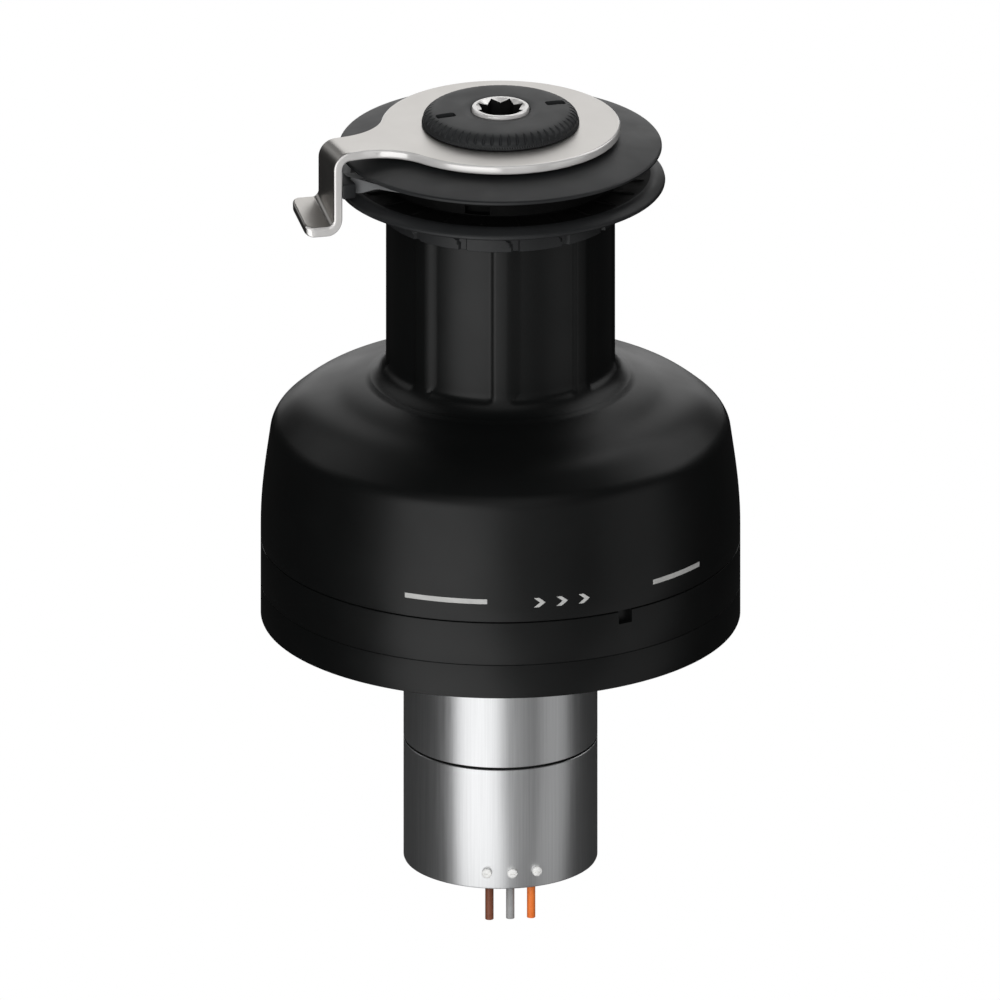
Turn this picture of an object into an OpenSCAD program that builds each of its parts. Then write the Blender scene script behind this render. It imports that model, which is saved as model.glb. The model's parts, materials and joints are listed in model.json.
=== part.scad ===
/* [Base and gear housing] */
// Outer radius of the base, the housing and the drum's skirt
base_r = 120; // [118:1:124]
// Height of the base ring above the deck
base_h = 17.8; // [17:0.2:19]
// Height of the gear housing ring
housing_h = 22.6; // [22:0.2:24]
// Wall of the base ring and the housing ring
base_wall = 8; // [6:0.5:9]
// Thickness of the base floor
floor_t = 8; // [7:0.5:8.5]
// Thickness of the housing's gear plate
gear_plate_t = 7.4; // [7:0.2:9]
// Edge break on the rings, which shows as a seam line
seam = 0.5; // [0.3:0.1:1]
// Gap between fixed and turning faces
run_gap = 0.4; // [0.3:0.1:0.8]
// Width of the drain notch in the housing's upper edge
drain_w = 7.7; // [5:0.1:10]
// Height of the drain notch
drain_h = 6.6; // [4:0.1:7]
// Bearing of the drain notch
drain_at = 301.4; // [290:0.1:310]

/* [Deck and housing fasteners] */
// Number of deck bolts
deck_bolts = 6; // [4:1:6]
// Distance of the deck bolts from the base's outer edge
deck_bolt_in = 20; // [17:0.5:25]
// Hole diameter of the deck bolts
deck_hole_d = 8.5; // [6.5:0.5:10]
// Distance of the housing screws from the base's outer edge
housing_screw_in = 18; // [17:0.5:22]
// Radius of the screw posts on the base floor
post_r = 8; // [7:0.5:9]
// Thread radius of the housing, cage and stem screws
screw_r = 2.5; // [2:0.1:3]
// Radial clearance round a screw
screw_play = 0.1; // [0.05:0.01:0.3]

/* [Main gears] */
// Distance from the pitch circle of the drum's ring gear to the base's outer edge
ring_gear_in = 18; // [18:0.5:18]
// Teeth of the pinion
pinion_teeth = 12; // [12:2:12]
// Teeth of each idler
idler_teeth = 45; // [45:2:45]
// Face width of the main gears
gear_w = 12; // [10:0.5:12.5]
// Radius of the idler shafts
idler_shaft_r = 8; // [7:0.5:9]
// Pressure angle of every gear
pressure_angle = 25; // [25:1:25]
// Total play between two teeth in mesh
backlash = 0.3; // [0.24:0.02:0.36]

/* [Planet stage] */
// Module of the planet stage
planet_module = 1.25; // [1.25:0.25:1.25]
// Teeth of the sun gear
sun_teeth = 12; // [12:1:12]
// Teeth of each planet
planet_teeth = 24; // [24:1:24]
// Face width of the planet stage
planet_w = 10; // [8:0.5:10.5]
// Outer radius of the fixed planet ring
planet_ring_r = 46; // [44:0.5:50]
// Radius of the planet pins
planet_pin_r = 4; // [3:0.5:5]
// Thickness of the carrier plate
carrier_t = 5.6; // [5:0.2:6]
// Radius of the carrier plate
carrier_r = 30; // [28:1:34]
// Radius of the shaft through the housing bearing
bearing_bore_r = 10; // [9:0.5:11]
// Outer radius of the housing bearing
bearing_r = 20; // [18:0.5:22]
// Radius of the shaft in the pinion
pinion_shaft_r = 6.5; // [5.5:0.5:7]

/* [Stem] */
// Thickness of the gear cage plate
cage_t = 6; // [5:0.5:7]
// Radius of the gear cage plate
cage_r = 70; // [68:1:76]
// Radius of the two cage legs
cage_leg_r = 14; // [12:0.5:15]
// Radius of the stem flange
stem_flange_r = 50; // [48:1:54]
// Thickness of the stem flange
stem_flange_t = 6; // [5:0.5:7]
// Radius of the stem where the drum's rollers run
stem_r = 34; // [33:0.5:35]
// Radius of the stem above the drum's thrust washer
stem_neck_r = 30; // [29:0.5:30.5]
// Radius of the spigot inside the top cap
spigot_r = 22; // [21:0.5:22.5]
// Bore radius of the stem
stem_bore_r = 15; // [14.5:0.1:15.5]

/* [Drum] */
// Radius of the drum barrel over its ribs
drum_r = 57.3; // [56.5:0.1:57.4]
// Ribs on the barrel
drum_ribs = 8; // [6:1:10]
// Bearing of the first rib
rib_at = 270.3; // [260:0.1:280]
// Depth of the hollow between two ribs
rib_depth = 1.3; // [0.8:0.1:2]
// Height at which the barrel meets its foot
drum_foot_z = 142.4; // [138:0.2:146]
// Height of the top of the barrel
drum_top_z = 216; // [215:0.5:217]
// Bore of the barrel where the rollers run
drum_bore_r = 46; // [45.5:0.5:46]
// Sweep radius between the barrel and the dome
foot_fillet_r = 12; // [10:0.5:14]
// Radius of the dome's long arc
dome_r = 110; // [105:1:115]
// Radius of the shoulder at the dome's edge
shoulder_r = 13; // [10:0.5:15]
// Height of the shoulder's centre
shoulder_z = 96.3; // [94:0.1:98]
// Inset of the shoulder's centre from the skirt
shoulder_in = 17.7; // [17:0.1:19]
// Slope at which the long arc meets the shoulder
shoulder_slope = 42; // [38:1:45]
// Slope at which the shoulder meets the tapered side
side_slope = 86.5; // [84:0.5:88]
// Slope of the dome where the foot sweep starts
foot_slope = 15.3; // [13:0.1:18]
// Height of the upright part of the skirt
skirt_z = 59; // [55:0.5:62]
// Wall of the dome
bell_wall = 6; // [5:0.5:7]
// Radial thickness of the skirt
skirt_wall = 7; // [6:0.5:7]
// Thickness of the flange at the top of the barrel
drum_flange_t = 9.9; // [9:0.1:10.5]
// Number of rollers in each bearing
roller_count = 12; // [10:1:14]
// Length of each roller
roller_len = 18; // [14:0.5:20]

/* [Self tailing jaws] */
// Radius of the upper jaw
upper_jaw_r = 80.75; // [79:0.25:81]
// Height from the lower jaw's rim to the upper jaw's rim
jaw_gap = 18.3; // [17.5:0.1:19]
// Radius of the lower jaw
lower_jaw_r = 82.5; // [80:0.5:83]
// Height of the lower jaw's rim above the drum
lower_rim_up = 17; // [16.5:0.1:17.5]
// Thickness of both jaws at the rim
jaw_t = 2.4; // [2:0.1:2.6]
// Rise of the jaws from the rim to the hub
jaw_rise = 4.2; // [3:0.1:4.4]
// Travel of the sprung lower jaw
jaw_travel = 3; // [2:0.1:3]
// Gripping ribs on each jaw
jaw_ribs = 24; // [18:1:30]
// Height of the gripping ribs
jaw_rib_h = 0.8; // [0.5:0.1:1]
// Outer radius of the upper jaw's hub
upper_hub_r = 53.6; // [53:0.1:53.6]
// Gap between the hubs of the two jaws
hub_gap = 0.4; // [0.4:0.1:0.9]
// Wall of the lower jaw's hub
lower_hub_t = 4; // [3.6:0.1:4]
// Width of the windows in the lower jaw's hub
window_w = 12.75; // [8:0.25:14]
// Wall of the crown ring round the lower jaw's hub
crown_wall = 1.7; // [1.7:0.1:2.7]
// Height of the crown ring
crown_h = 10; // [9:0.5:10]
// Steps round the crown ring
crown_steps = 14; // [8:1:16]
// Number of jaw springs
spring_count = 6; // [6:1:12]
// Wire radius of the jaw springs
spring_wire_r = 0.3; // [0.2:0.05:0.35]

/* [Line guide] */
// Bearing of the guide arm
arm_at = 201; // [195:1:207]
// Radius of the guide's ring plate
guide_r = 60; // [58:0.5:61]
// Thickness of the guide plate
guide_t = 4.8; // [4:0.1:5]
// Width of the arm
arm_w = 23; // [20:0.5:25]
// Radius of the hollow neck between the ring plate and the arm
neck_r = 30; // [24:1:34]
// Gap between the lower jaw's rim and the leg
leg_gap = 6.2; // [5.4:0.1:8]
// Drop of the hook below the lower jaw's rim
hook_drop = 9.4; // [7:0.2:12]
// Length of the paddle beyond the hook's bend
paddle_len = 12; // [9:0.5:14]
// Slant of the hook's bend across the leg
hook_tilt = 22; // [15:1:25]
// Length of the feeder tongue in degrees of the groove
tongue_sweep = 26; // [20:1:30]

/* [Top cap and spindle] */
// Radius of the top cap
cap_r = 39.5; // [38:0.5:41]
// Height of the top cap
cap_h = 7.5; // [7:0.1:8]
// Flutes round the cap
cap_flutes = 48; // [40:1:64]
// Length of the two slots in the cap
cap_slot_len = 10; // [8:0.5:12]
// Width of the two slots in the cap
cap_slot_w = 4; // [3:0.5:5]
// Radius at which the slots and marks stand
cap_slot_at = 28; // [27:0.5:30]
// Across the flats of the handle socket's squares
socket_af = 17.2; // [17:0.1:17.6]
// Depth of the handle socket
socket_depth = 25; // [22:1:28]
// Radius of the spindle head
spindle_head_r = 14.5; // [14.3:0.1:14.6]
// Radius of the spindle shaft
spindle_r = 9; // [8:0.5:10]

/* [Motor can] */
// Outer radius of the motor can
can_r = 48.5; // [46:0.5:50]
// Wall of the motor can
can_wall = 3; // [2.5:0.25:4]
// Length of the motor can below the deck
can_len = 130; // [126:1:140]
// Depth of the joint between the two cans
can_joint = 65.5; // [64:0.5:70]
// Length of the stator
stator_len = 34; // [28:1:36]
// Slots in the stator
stator_slots = 12; // [9:3:12]
// Bore radius of the stator
stator_bore_r = 24.6; // [24:0.1:26]
// Radius of the motor shaft
motor_shaft_r = 5; // [4.5:0.25:5.25]
// Magnets on the rotor
magnet_count = 8; // [6:2:10]

/* [Power leads] */
// Diameter of each lead
lead_d = 4.2; // [3.6:0.1:4.4]
// Distance between two leads
lead_pitch = 10.5; // [9:0.1:11]
// Radius from the axis to the row of leads
lead_at_r = 40; // [38:0.25:40.5]
// Bearing of the middle lead
lead_bearing = 277; // [270:1:284]
// Height of the terminal screws above the can's bottom
lead_screw_up = 8.7; // [8:0.1:10]

/* [Hidden] */
$fn = 96;
eps = 0.01;
fit = 0.04;
face_gap = 0.2;
flank_steps = 3;
arc_steps = 12;

// Heights of the base and the gear train
housing_z = base_h;
plate_z = base_h + housing_h - gear_plate_t;
housing_top = base_h + housing_h;
skirt_bottom = housing_top + run_gap;
main_gear_z = housing_top + 2.6;
cage_z = main_gear_z + gear_w + 2.6;
flange_z = cage_z + cage_t;
tube_z = flange_z + stem_flange_t;
planet_z = floor_t + 1;
carrier_z = planet_z + planet_w + 1.3;
bearing_h = 10;
boss_depth = 4;

// Gear sizes
ring_teeth = pinion_teeth + 2 * idler_teeth;
main_module = 2 * (base_r - ring_gear_in) / ring_teeth;
ring_gear_r = base_r - skirt_wall - face_gap;
planet_ring_teeth = sun_teeth + 2 * planet_teeth;
idler_at_r = main_module * (pinion_teeth + idler_teeth) / 2;
planet_at_r = planet_module * (sun_teeth + planet_teeth) / 2;
planet_bearings = [90, 210, 330];
root_depth = 1.25;
planet_ring_h = planet_w + 2;

// Fasteners
head_r = screw_r * 1.7;
head_h = 3;
head_sink = 0.4;
deck_bolt_at = base_r - deck_bolt_in;
housing_screw_at = base_r - housing_screw_in;
housing_screw_count = 6;
post_screw_up = 7;
post_screw_z = floor_t + post_screw_up;
stem_screw_count = 6;
stem_screw_at = (stem_r + stem_flange_r) / 2;
stem_screw_grip = 5;
cage_screw_gap = 7;
cage_screw_grip = 12;
cage_hole_h = 14;
motor_screw_count = 4;
motor_screw_at = 35;
jaw_screw_count = 6;
jaw_screw_len = 13;
ring_screw_count = 8;
ring_screw_hole = 6;
guide_screw_count = 4;
guide_screw_len = 11;
motor_screw_r = 2.5;
ring_screw_r = 2;
ring_ledge_z = main_gear_z + gear_w + 0.2;
ring_ledge_h = 7;
ring_ledge_w = 7;
ring_screw_at = (main_module * (ring_teeth / 2 + root_depth) + ring_gear_r) / 2;
seal_w = 1.8;

// Heights of the jaws and the line guide
lower_rim_z = drum_top_z + lower_rim_up;
upper_rim_z = lower_rim_z + jaw_gap;
upper_top_z = upper_rim_z + jaw_rise;
guide_gap = 1.9;
hook_z = lower_rim_z - hook_drop;
leg_r = lower_jaw_r + leg_gap + guide_t;

// Ratchet between the lower shaft and the spindle
cup_z = tube_z - 4;
cup_floor_t = 3;
cup_r = 17;
ratchet_r = 14.2;
ratchet_depth = 1.8;
ratchet_teeth = 10;
ratchet_h = 9;
ratchet_turn = 3;
pawl_tip_in = 0.6;
stem_well_r = cup_r + 1;
pawl_z = cup_z + cup_floor_t + 1;
pawl_h = 6;
pawl_pin_r = 1.5;
pawl_pin_at = 9.5;
pawl_eye_r = 2.2;
pawl_bearings = [0, 180];
spindle_pilot_r = 6.6;
spindle_flange_z = cup_z + cup_floor_t + ratchet_h + face_gap;
spindle_flange_t = 3;
spindle_flange_r = 12;
stem_well_z = spindle_flange_z + spindle_flange_t + 1;

// Stem top, line guide and cap
guide_z = upper_top_z + guide_gap;
guide_top = guide_z + guide_t;
cap_z = guide_top + face_gap;
cap_top = cap_z + cap_h;
spindle_top = cap_top + 1.4;
spigot_top = cap_z + 4;
head_bore_r = 16.5;
head_foot = 11;
star_at = 22.5;
head_play = 9;
seal_drop = 7;
head_z = spindle_top - socket_depth - head_foot;
head_bore_z = head_z - head_play;
bush_len = 10;
seal_z = guide_z - seal_drop;
seal_h = 4;
guide_screw_at = (spigot_r + stem_neck_r) / 2;
guide_screw_r = 1.7;
guide_head_r = 3.1;
snap_z = cap_z + 1.4;
snap_h = 1.2;
snap_groove = 1;

// Drum
thrust_t = 1.8;
flange_under_z = drum_top_z - drum_flange_t;
stem_shoulder_z = flange_under_z - thrust_t - 0.1;
washer_r = 42;
flange_bore_r = stem_neck_r + 1;
shoulder_c = [base_r - shoulder_in, shoulder_z];
dome_c = shoulder_c - (dome_r - shoulder_r) * [sin(shoulder_slope), cos(shoulder_slope)];
fillet_c = [drum_r + foot_fillet_r, drum_foot_z];
inner_foot_slope = 7;
barrel_bore_z = 126;
lower_roller_z = 143;
upper_roller_z = stem_shoulder_z - roller_len - 4;
roller_path_r = (stem_r + drum_bore_r) / 2;
roller_r = (drum_bore_r - stem_r) / 2 - fit;
cage_rim = 2;
roller_pocket_play = 0.25;
facet_points = 10;
rib_half = 3.1;
rib_flank = 7;
roller_cage_half = 3.6;

// Jaws
lower_hub_bore_r = upper_hub_r + hub_gap;
lower_hub_r = lower_hub_bore_r + lower_hub_t;
jaw_screw_in = 9.6;
jaw_screw_at = upper_hub_r - jaw_screw_in;
jaw_flange_t = 5;
jaw_bore_r = 38;
lower_hub_up = 6.5;
lower_hub_rise = 9;
lower_hub_z = drum_top_z + lower_hub_up;
lower_hub_top = lower_rim_z + lower_hub_rise;
lower_under_z = drum_top_z + crown_h + jaw_travel + 0.5;
window_z = lower_rim_z + 2.2;
window_h = 4.4;
window_at = 258.5;
upper_under_z = upper_rim_z - jaw_t;
upper_cone_h = 2.6;
jaw_hub_t = 5;
rib_in_r = upper_hub_r + 6.4;
rib_len = 10;
rib_w = 1.2;
rib_root = 0.6;
jaw_mid_r = lower_hub_r + 12;
hub_plate_up = 1.5;
crown_play = 0.3;
crown_r = lower_hub_r + crown_play + crown_wall;
crown_floor_t = 1.2;
crown_lip = 1.4;
crown_edge_at = 279.2;
crown_notch = 2;
crown_bore_r = lower_hub_bore_r + 0.1;
spring_r = 1.3;
spring_turns = 3.5;
spring_rings = 8;
spring_sides = 5;
spring_path_r = (lower_hub_r + lower_hub_bore_r) / 2;
spring_z = drum_top_z + crown_floor_t;
spring_len = lower_hub_z - spring_z;

// Motor
can_bore_r = can_r - can_wall;
can_floor_t = 4;
inner_r = can_bore_r - fit;
end_plate_t = 8;
top_plate_z = -end_plate_t - 0.2;
bottom_plate_z = -can_joint + 1;
motor_bearing_r = 13;
motor_bearing_h = 7;
stator_top = top_plate_z - 7;
stator_z = stator_top - stator_len;
tooth_tip_t = 2.5;
slot_depth = 13;
slot_w = 0.62 * 2 * PI * (stator_bore_r + tooth_tip_t) / stator_slots;
slot_mouth = 2.4;
winding_play = 0.3;
winding_over = 4;
rotor_r = 20;
magnet_t = 3.6;
magnet_gap = 8;
board_drop = 20;
board_z = bottom_plate_z - board_drop;
board_t = 1.6;
board_r = 42;
spacer_r = 3;
spacer_at = 36;
capacitor_r = 9;
capacitor_h = 20;
capacitor_at = 22;

// Line guide and feeder
hook_bend_r = 3;
top_bend_r = 4;
paddle_slope = 3;
hook_overlap = 12;
hook_cut_h = 60;
hook_centre_z = hook_z + guide_t + hook_bend_r;
hook_centre_x = leg_r + hook_bend_r;
feeder_t = 7;
feeder_w = 19;
feeder_up = 4.2;
feeder_z = lower_rim_z + feeder_up;
tongue_h = 7.4;
tongue_back = 4;
tongue_steps = 8;
tongue_root_in = lower_jaw_r - 10.5;
tongue_root_w = 12;
tongue_tip_in = lower_jaw_r - 16.5;
tongue_tip_w = 3;

// Terminals and leads, seen from the can's bottom
can_bottom = -can_len;
terminal_z = can_bottom + can_floor_t;
terminal_h = 14;
terminal_w = 32;
terminal_in = 33;
lead_screw_z = can_bottom + lead_screw_up;
lead_screw_sweep = 15;
lead_screw_r = 1.5;
lead_dome_r = 2.5;
function lead_reach(place) = norm([lead_at_r, place * lead_pitch]) + lead_d / 2 + fit;
grommet_r = 3.6;
lead_top = -116.5;
lead_route = [[0, 0, -116.5], [0, 0, -124], [0, 0, -132], [0, 0, -140], [0, 0, -148.5]];
lead_sides = 10;

function arc_points(c, r, from, to) =
    [for (i = [0:arc_steps]) let (a = from + (to - from) * i / arc_steps) c + r * [sin(a), cos(a)]];

function involute_deg(a) = tan(a) * 180 / PI - a;
function flank_angle(pitch_r, r) = acos(min(1, pitch_r * cos(pressure_angle) / r));
function half_tooth(teeth, pitch_r, r, thin) =
    90 / teeth - thin / pitch_r * 180 / PI
    + involute_deg(pressure_angle) - involute_deg(flank_angle(pitch_r, r));
function gear_points(teeth, m, low_r, high_r, thin, phase) = [
    for (i = [0:teeth - 1]) for (side = [-1, 1]) for (k = [0:flank_steps])
        let (step = side < 0 ? k : flank_steps - k)
        let (r = low_r + (high_r - low_r) * step / flank_steps)
        let (a = phase + 360 * i / teeth + side * half_tooth(teeth, m * teeth / 2, r, thin))
        r * [cos(a), sin(a)]
];

module spur_gear(teeth, m, width, bore, phase) {
    pitch_r = m * teeth / 2;
    linear_extrude(width) difference() {
        polygon(gear_points(teeth, m, pitch_r - root_depth * m, pitch_r + m, backlash / 4, phase));
        circle(bore);
    }
}

module internal_gear(teeth, m, width, outer, phase) {
    pitch_r = m * teeth / 2;
    linear_extrude(width) difference() {
        circle(outer);
        polygon(gear_points(teeth, m, pitch_r - m, pitch_r + root_depth * m, -backlash / 4, phase));
    }
}

module ring(outer, inner, z, h) {
    translate([0, 0, z]) linear_extrude(h) difference() {
        circle(outer);
        circle(inner);
    }
}

module around(count, radius, start = 0) {
    for (i = [0:count - 1])
        rotate(start + 360 * i / count) translate([radius, 0, 0]) children();
}

module cap_screw(r, z_head, shank) {
    translate([0, 0, z_head - shank]) cylinder(r = r, h = shank + eps);
    translate([0, 0, z_head]) difference() {
        cylinder(r = r * 1.7, h = head_h);
        translate([0, 0, head_h / 2]) cylinder(r = r * 0.9, h = head_h, $fn = 6);
    }
}

module ball_bearing(inner, outer, z, h) {
    race = (outer - inner) * 0.28;
    ball_r = (outer - inner - 2 * race) / 2 - fit;
    ring(inner + race, inner, z, h);
    ring(outer, outer - race, z, h);
    balls = floor(PI * (inner + outer) / (2.6 * ball_r));
    around(balls, (inner + outer) / 2) translate([0, 0, z + h / 2]) sphere(r = ball_r, $fn = 24);
}

module roller_bearing(z) {
    color("silver") around(roller_count, roller_path_r)
        translate([0, 0, z]) cylinder(r = roller_r, h = roller_len);
    color("gainsboro") translate([0, 0, z - cage_rim]) difference() {
        ring(roller_path_r + roller_cage_half, roller_path_r - roller_cage_half,
            0, roller_len + 2 * cage_rim);
        around(roller_count, roller_path_r) translate([0, 0, cage_rim - face_gap])
            cylinder(r = roller_r + roller_pocket_play, h = roller_len + 2 * face_gap);
    }
}

// Fixed parts

module base_plate() {
    color("#141516") difference() {
        union() {
            rotate_extrude() polygon([
                [0, 0], [base_r - seam, 0], [base_r, seam], [base_r, base_h - seam],
                [base_r - seam, base_h], [base_r - base_wall, base_h],
                [base_r - base_wall, floor_t], [0, floor_t]
            ]);
            around(housing_screw_count, housing_screw_at, 30) cylinder(r = post_r, h = plate_z);
        }
        translate([0, 0, -1]) cylinder(r = bearing_bore_r + 2, h = floor_t + 2);
        around(deck_bolts, deck_bolt_at) translate([0, 0, -1])
            cylinder(r = deck_hole_d / 2, h = floor_t + 2);
        around(housing_screw_count, housing_screw_at, 30) translate([0, 0, post_screw_z - 2])
            cylinder(r = screw_r + screw_play, h = plate_z);
        around(motor_screw_count, motor_screw_at, 45) {
            translate([0, 0, -1]) cylinder(r = motor_screw_r + screw_play, h = floor_t + 2);
            translate([0, 0, floor_t - head_h - head_sink]) cylinder(r = head_r + head_sink, h = floor_t);
        }
        ring(base_r - base_wall / 2 + seal_w / 2, base_r - base_wall / 2 - seal_w / 2,
            base_h - seal_w, seal_w + 1);
    }
}

module gear_housing() {
    color("#161718") difference() {
        union() {
            rotate_extrude() polygon([
                [bearing_r + fit, plate_z - boss_depth], [bearing_r + 6, plate_z - boss_depth],
                [bearing_r + 6, plate_z], [base_r - base_wall, plate_z], [base_r - base_wall, housing_z],
                [base_r - seam, housing_z], [base_r, housing_z + seam], [base_r, housing_top - seam],
                [base_r - seam, housing_top], [bearing_r + fit, housing_top]
            ]);
        }
        for (side = [0, 180]) rotate(side) translate([idler_at_r, 0, plate_z - 1])
            cylinder(r = idler_shaft_r + fit, h = gear_plate_t + 2);
        around(housing_screw_count, housing_screw_at, 30) {
            translate([0, 0, plate_z - 1]) cylinder(r = screw_r + screw_play, h = gear_plate_t + 2);
            translate([0, 0, housing_top - head_h - head_sink])
                cylinder(r = head_r + head_sink, h = gear_plate_t);
        }
        for (side = [-1, 1]) for (x = [-1, 1])
            translate([x * cage_screw_gap, side * idler_at_r, plate_z - 1])
                cylinder(r = screw_r + screw_play, h = gear_plate_t + 2);
        rotate(drain_at) translate([base_r - base_wall / 2, -drain_w / 2, housing_top - drain_h])
            cube([base_wall, drain_w, drain_h + 1]);
    }
}

module housing_seal() {
    color("#2a2a2a") ring(base_r - base_wall / 2 + seal_w / 2 - fit, base_r - base_wall / 2 - seal_w / 2 + fit,
        base_h - seal_w, seal_w);
}

module housing_screws() {
    head_seat = housing_top - head_h - head_sink;
    color("silver") around(housing_screw_count, housing_screw_at, 30)
        cap_screw(screw_r, head_seat, head_seat - post_screw_z);
}

module planet_ring_gear() {
    color("gray") translate([0, 0, floor_t]) internal_gear(planet_ring_teeth, planet_module,
        planet_ring_h, planet_ring_r, 180 / planet_ring_teeth);
}

module carrier_bearing() {
    color("lightgray") ball_bearing(bearing_bore_r + fit, bearing_r, housing_top - bearing_h, bearing_h);
}

module gear_cage() {
    color("#6b6e72") difference() {
        union() {
            translate([0, 0, cage_z]) cylinder(r = cage_r, h = cage_t);
            for (side = [-1, 1]) translate([0, side * idler_at_r, housing_top])
                cylinder(r = cage_leg_r, h = cage_z - housing_top + eps);
        }
        translate([0, 0, cage_z - 1]) cylinder(r = pinion_shaft_r + fit, h = cage_t + 2);
        for (side = [0, 180]) rotate(side) translate([idler_at_r, 0, cage_z - 1])
            cylinder(r = idler_shaft_r + fit, h = cage_t + 2);
        around(stem_screw_count, stem_screw_at, 30) translate([0, 0, cage_z - 1])
            cylinder(r = screw_r + screw_play, h = cage_t + 2);
        for (side = [-1, 1]) for (x = [-1, 1])
            translate([x * cage_screw_gap, side * idler_at_r, housing_top - 1])
                cylinder(r = screw_r + screw_play, h = cage_hole_h);
    }
}

module idler_shafts() {
    color("lightgray") for (side = [0, 180]) rotate(side) translate([idler_at_r, 0, plate_z])
        cylinder(r = idler_shaft_r, h = flange_z - plate_z);
}

module stem() {
    color("#8a8d90") difference() {
        rotate_extrude() polygon([
            [stem_well_r, flange_z], [stem_flange_r, flange_z], [stem_flange_r, tube_z],
            [stem_r, tube_z], [stem_r, stem_shoulder_z], [stem_neck_r, stem_shoulder_z],
            [stem_neck_r, guide_z], [spigot_r, guide_z], [spigot_r, snap_z],
            [spigot_r - snap_groove, snap_z], [spigot_r - snap_groove, snap_z + snap_h],
            [spigot_r, snap_z + snap_h], [spigot_r, spigot_top], [head_bore_r, spigot_top],
            [head_bore_r, head_bore_z], [stem_bore_r, head_bore_z], [stem_bore_r, stem_well_z],
            [stem_well_r, stem_well_z]
        ]);
        around(stem_screw_count, stem_screw_at, 30) translate([0, 0, flange_z - 1])
            cylinder(r = screw_r + screw_play, h = stem_flange_t + 2);
        around(guide_screw_count, guide_screw_at, 45) translate([0, 0, guide_z - guide_screw_len])
            cylinder(r = guide_screw_r + screw_play, h = guide_screw_len + 1);
    }
}

// The screws of the stem from above, and those of the cage's two legs from below
module stem_screws() {
    color("silver") {
        around(stem_screw_count, stem_screw_at, 30)
            cap_screw(screw_r, tube_z, stem_flange_t + stem_screw_grip);
        for (side = [-1, 1]) for (x = [-1, 1])
            translate([x * cage_screw_gap, side * idler_at_r, plate_z]) mirror([0, 0, 1])
                cap_screw(screw_r, 0, gear_plate_t + cage_screw_grip);
    }
}

module spindle_bushes() {
    color("#b08d57") for (z = [stem_well_z + 4, head_bore_z - bush_len - 2])
        ring(stem_bore_r - fit, spindle_r + fit, z, bush_len);
}

module spindle_seal() {
    color("#222222") ring(head_bore_r - fit, spindle_head_r + fit, seal_z, seal_h);
}

module thrust_washer() {
    color("#b08d57") ring(washer_r, stem_neck_r + face_gap, stem_shoulder_z, thrust_t);
}

// The arm lies along +X here and is turned to its bearing afterwards

module guide_outline() {
    fillet_y = arm_w / 2 + neck_r;
    fillet_x = sqrt(pow(guide_r + neck_r, 2) - pow(fillet_y, 2));
    corner_y = guide_r * fillet_y / (guide_r + neck_r);
    difference() {
        union() {
            circle(guide_r);
            translate([0, -corner_y]) square([fillet_x, 2 * corner_y]);
            translate([0, -arm_w / 2]) square([leg_r - guide_t - top_bend_r, arm_w]);
        }
        for (side = [-1, 1]) translate([fillet_x, side * fillet_y]) circle(neck_r);
        circle(spigot_r + 0.1);
    }
}

module bent_strip() {
    bend_c = [leg_r - guide_t - top_bend_r, guide_z - top_bend_r];
    translate([0, arm_w / 2, 0]) rotate([90, 0, 0]) linear_extrude(arm_w) polygon(concat(
        arc_points(bend_c, top_bend_r + guide_t, 0, 90),
        [[leg_r, hook_centre_z + hook_overlap / 2], [leg_r - guide_t, hook_centre_z + hook_overlap / 2]],
        arc_points(bend_c, top_bend_r, 90, 0)
    ));
}

module hook_strip() {
    out = hook_bend_r + guide_t;
    turn = 180 - paddle_slope;
    tip = paddle_len * [cos(paddle_slope), sin(paddle_slope)];
    c = [hook_centre_x, 0];
    inner = arc_points(c, hook_bend_r, 270, turn);
    outer = arc_points(c, out, turn, 270);
    reach = 2 * arm_w;
    intersection() {
        translate([0, -arm_w / 2, hook_z - hook_cut_h / 3]) cube([2 * leg_r, arm_w, hook_cut_h]);
        translate([0, 0, hook_centre_z]) rotate([-hook_tilt, 0, 0])
            translate([0, reach / 2, 0]) rotate([90, 0, 0]) linear_extrude(reach) polygon(concat(
                [[leg_r, hook_overlap]], inner, [inner[arc_steps] + tip, outer[0] + tip], outer,
                [[leg_r - guide_t, hook_overlap]]
            ));
    }
}

module line_guide() {
    color("#c9c7c4") rotate(arm_at) difference() {
        union() {
            translate([0, 0, guide_z]) linear_extrude(guide_t) guide_outline();
            bent_strip();
            hook_strip();
        }
        around(guide_screw_count, guide_screw_at, 45 - arm_at) {
            translate([0, 0, guide_z - 1]) cylinder(r = guide_screw_r + screw_play, h = guide_t + 2);
            translate([0, 0, guide_top - head_h + 0.3]) cylinder(r = guide_head_r, h = head_h);
        }
    }
}

module guide_screws() {
    color("silver") around(guide_screw_count, guide_screw_at, 45)
        translate([0, 0, guide_top - head_h + 0.3]) {
            translate([0, 0, -guide_screw_len]) cylinder(r = guide_screw_r, h = guide_screw_len + eps);
            difference() {
                cylinder(r = guide_head_r - fit, h = head_h - 0.5);
                translate([0, 0, 1]) cylinder(r = guide_screw_r * 0.8, h = head_h, $fn = 6);
            }
        }
}

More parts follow.
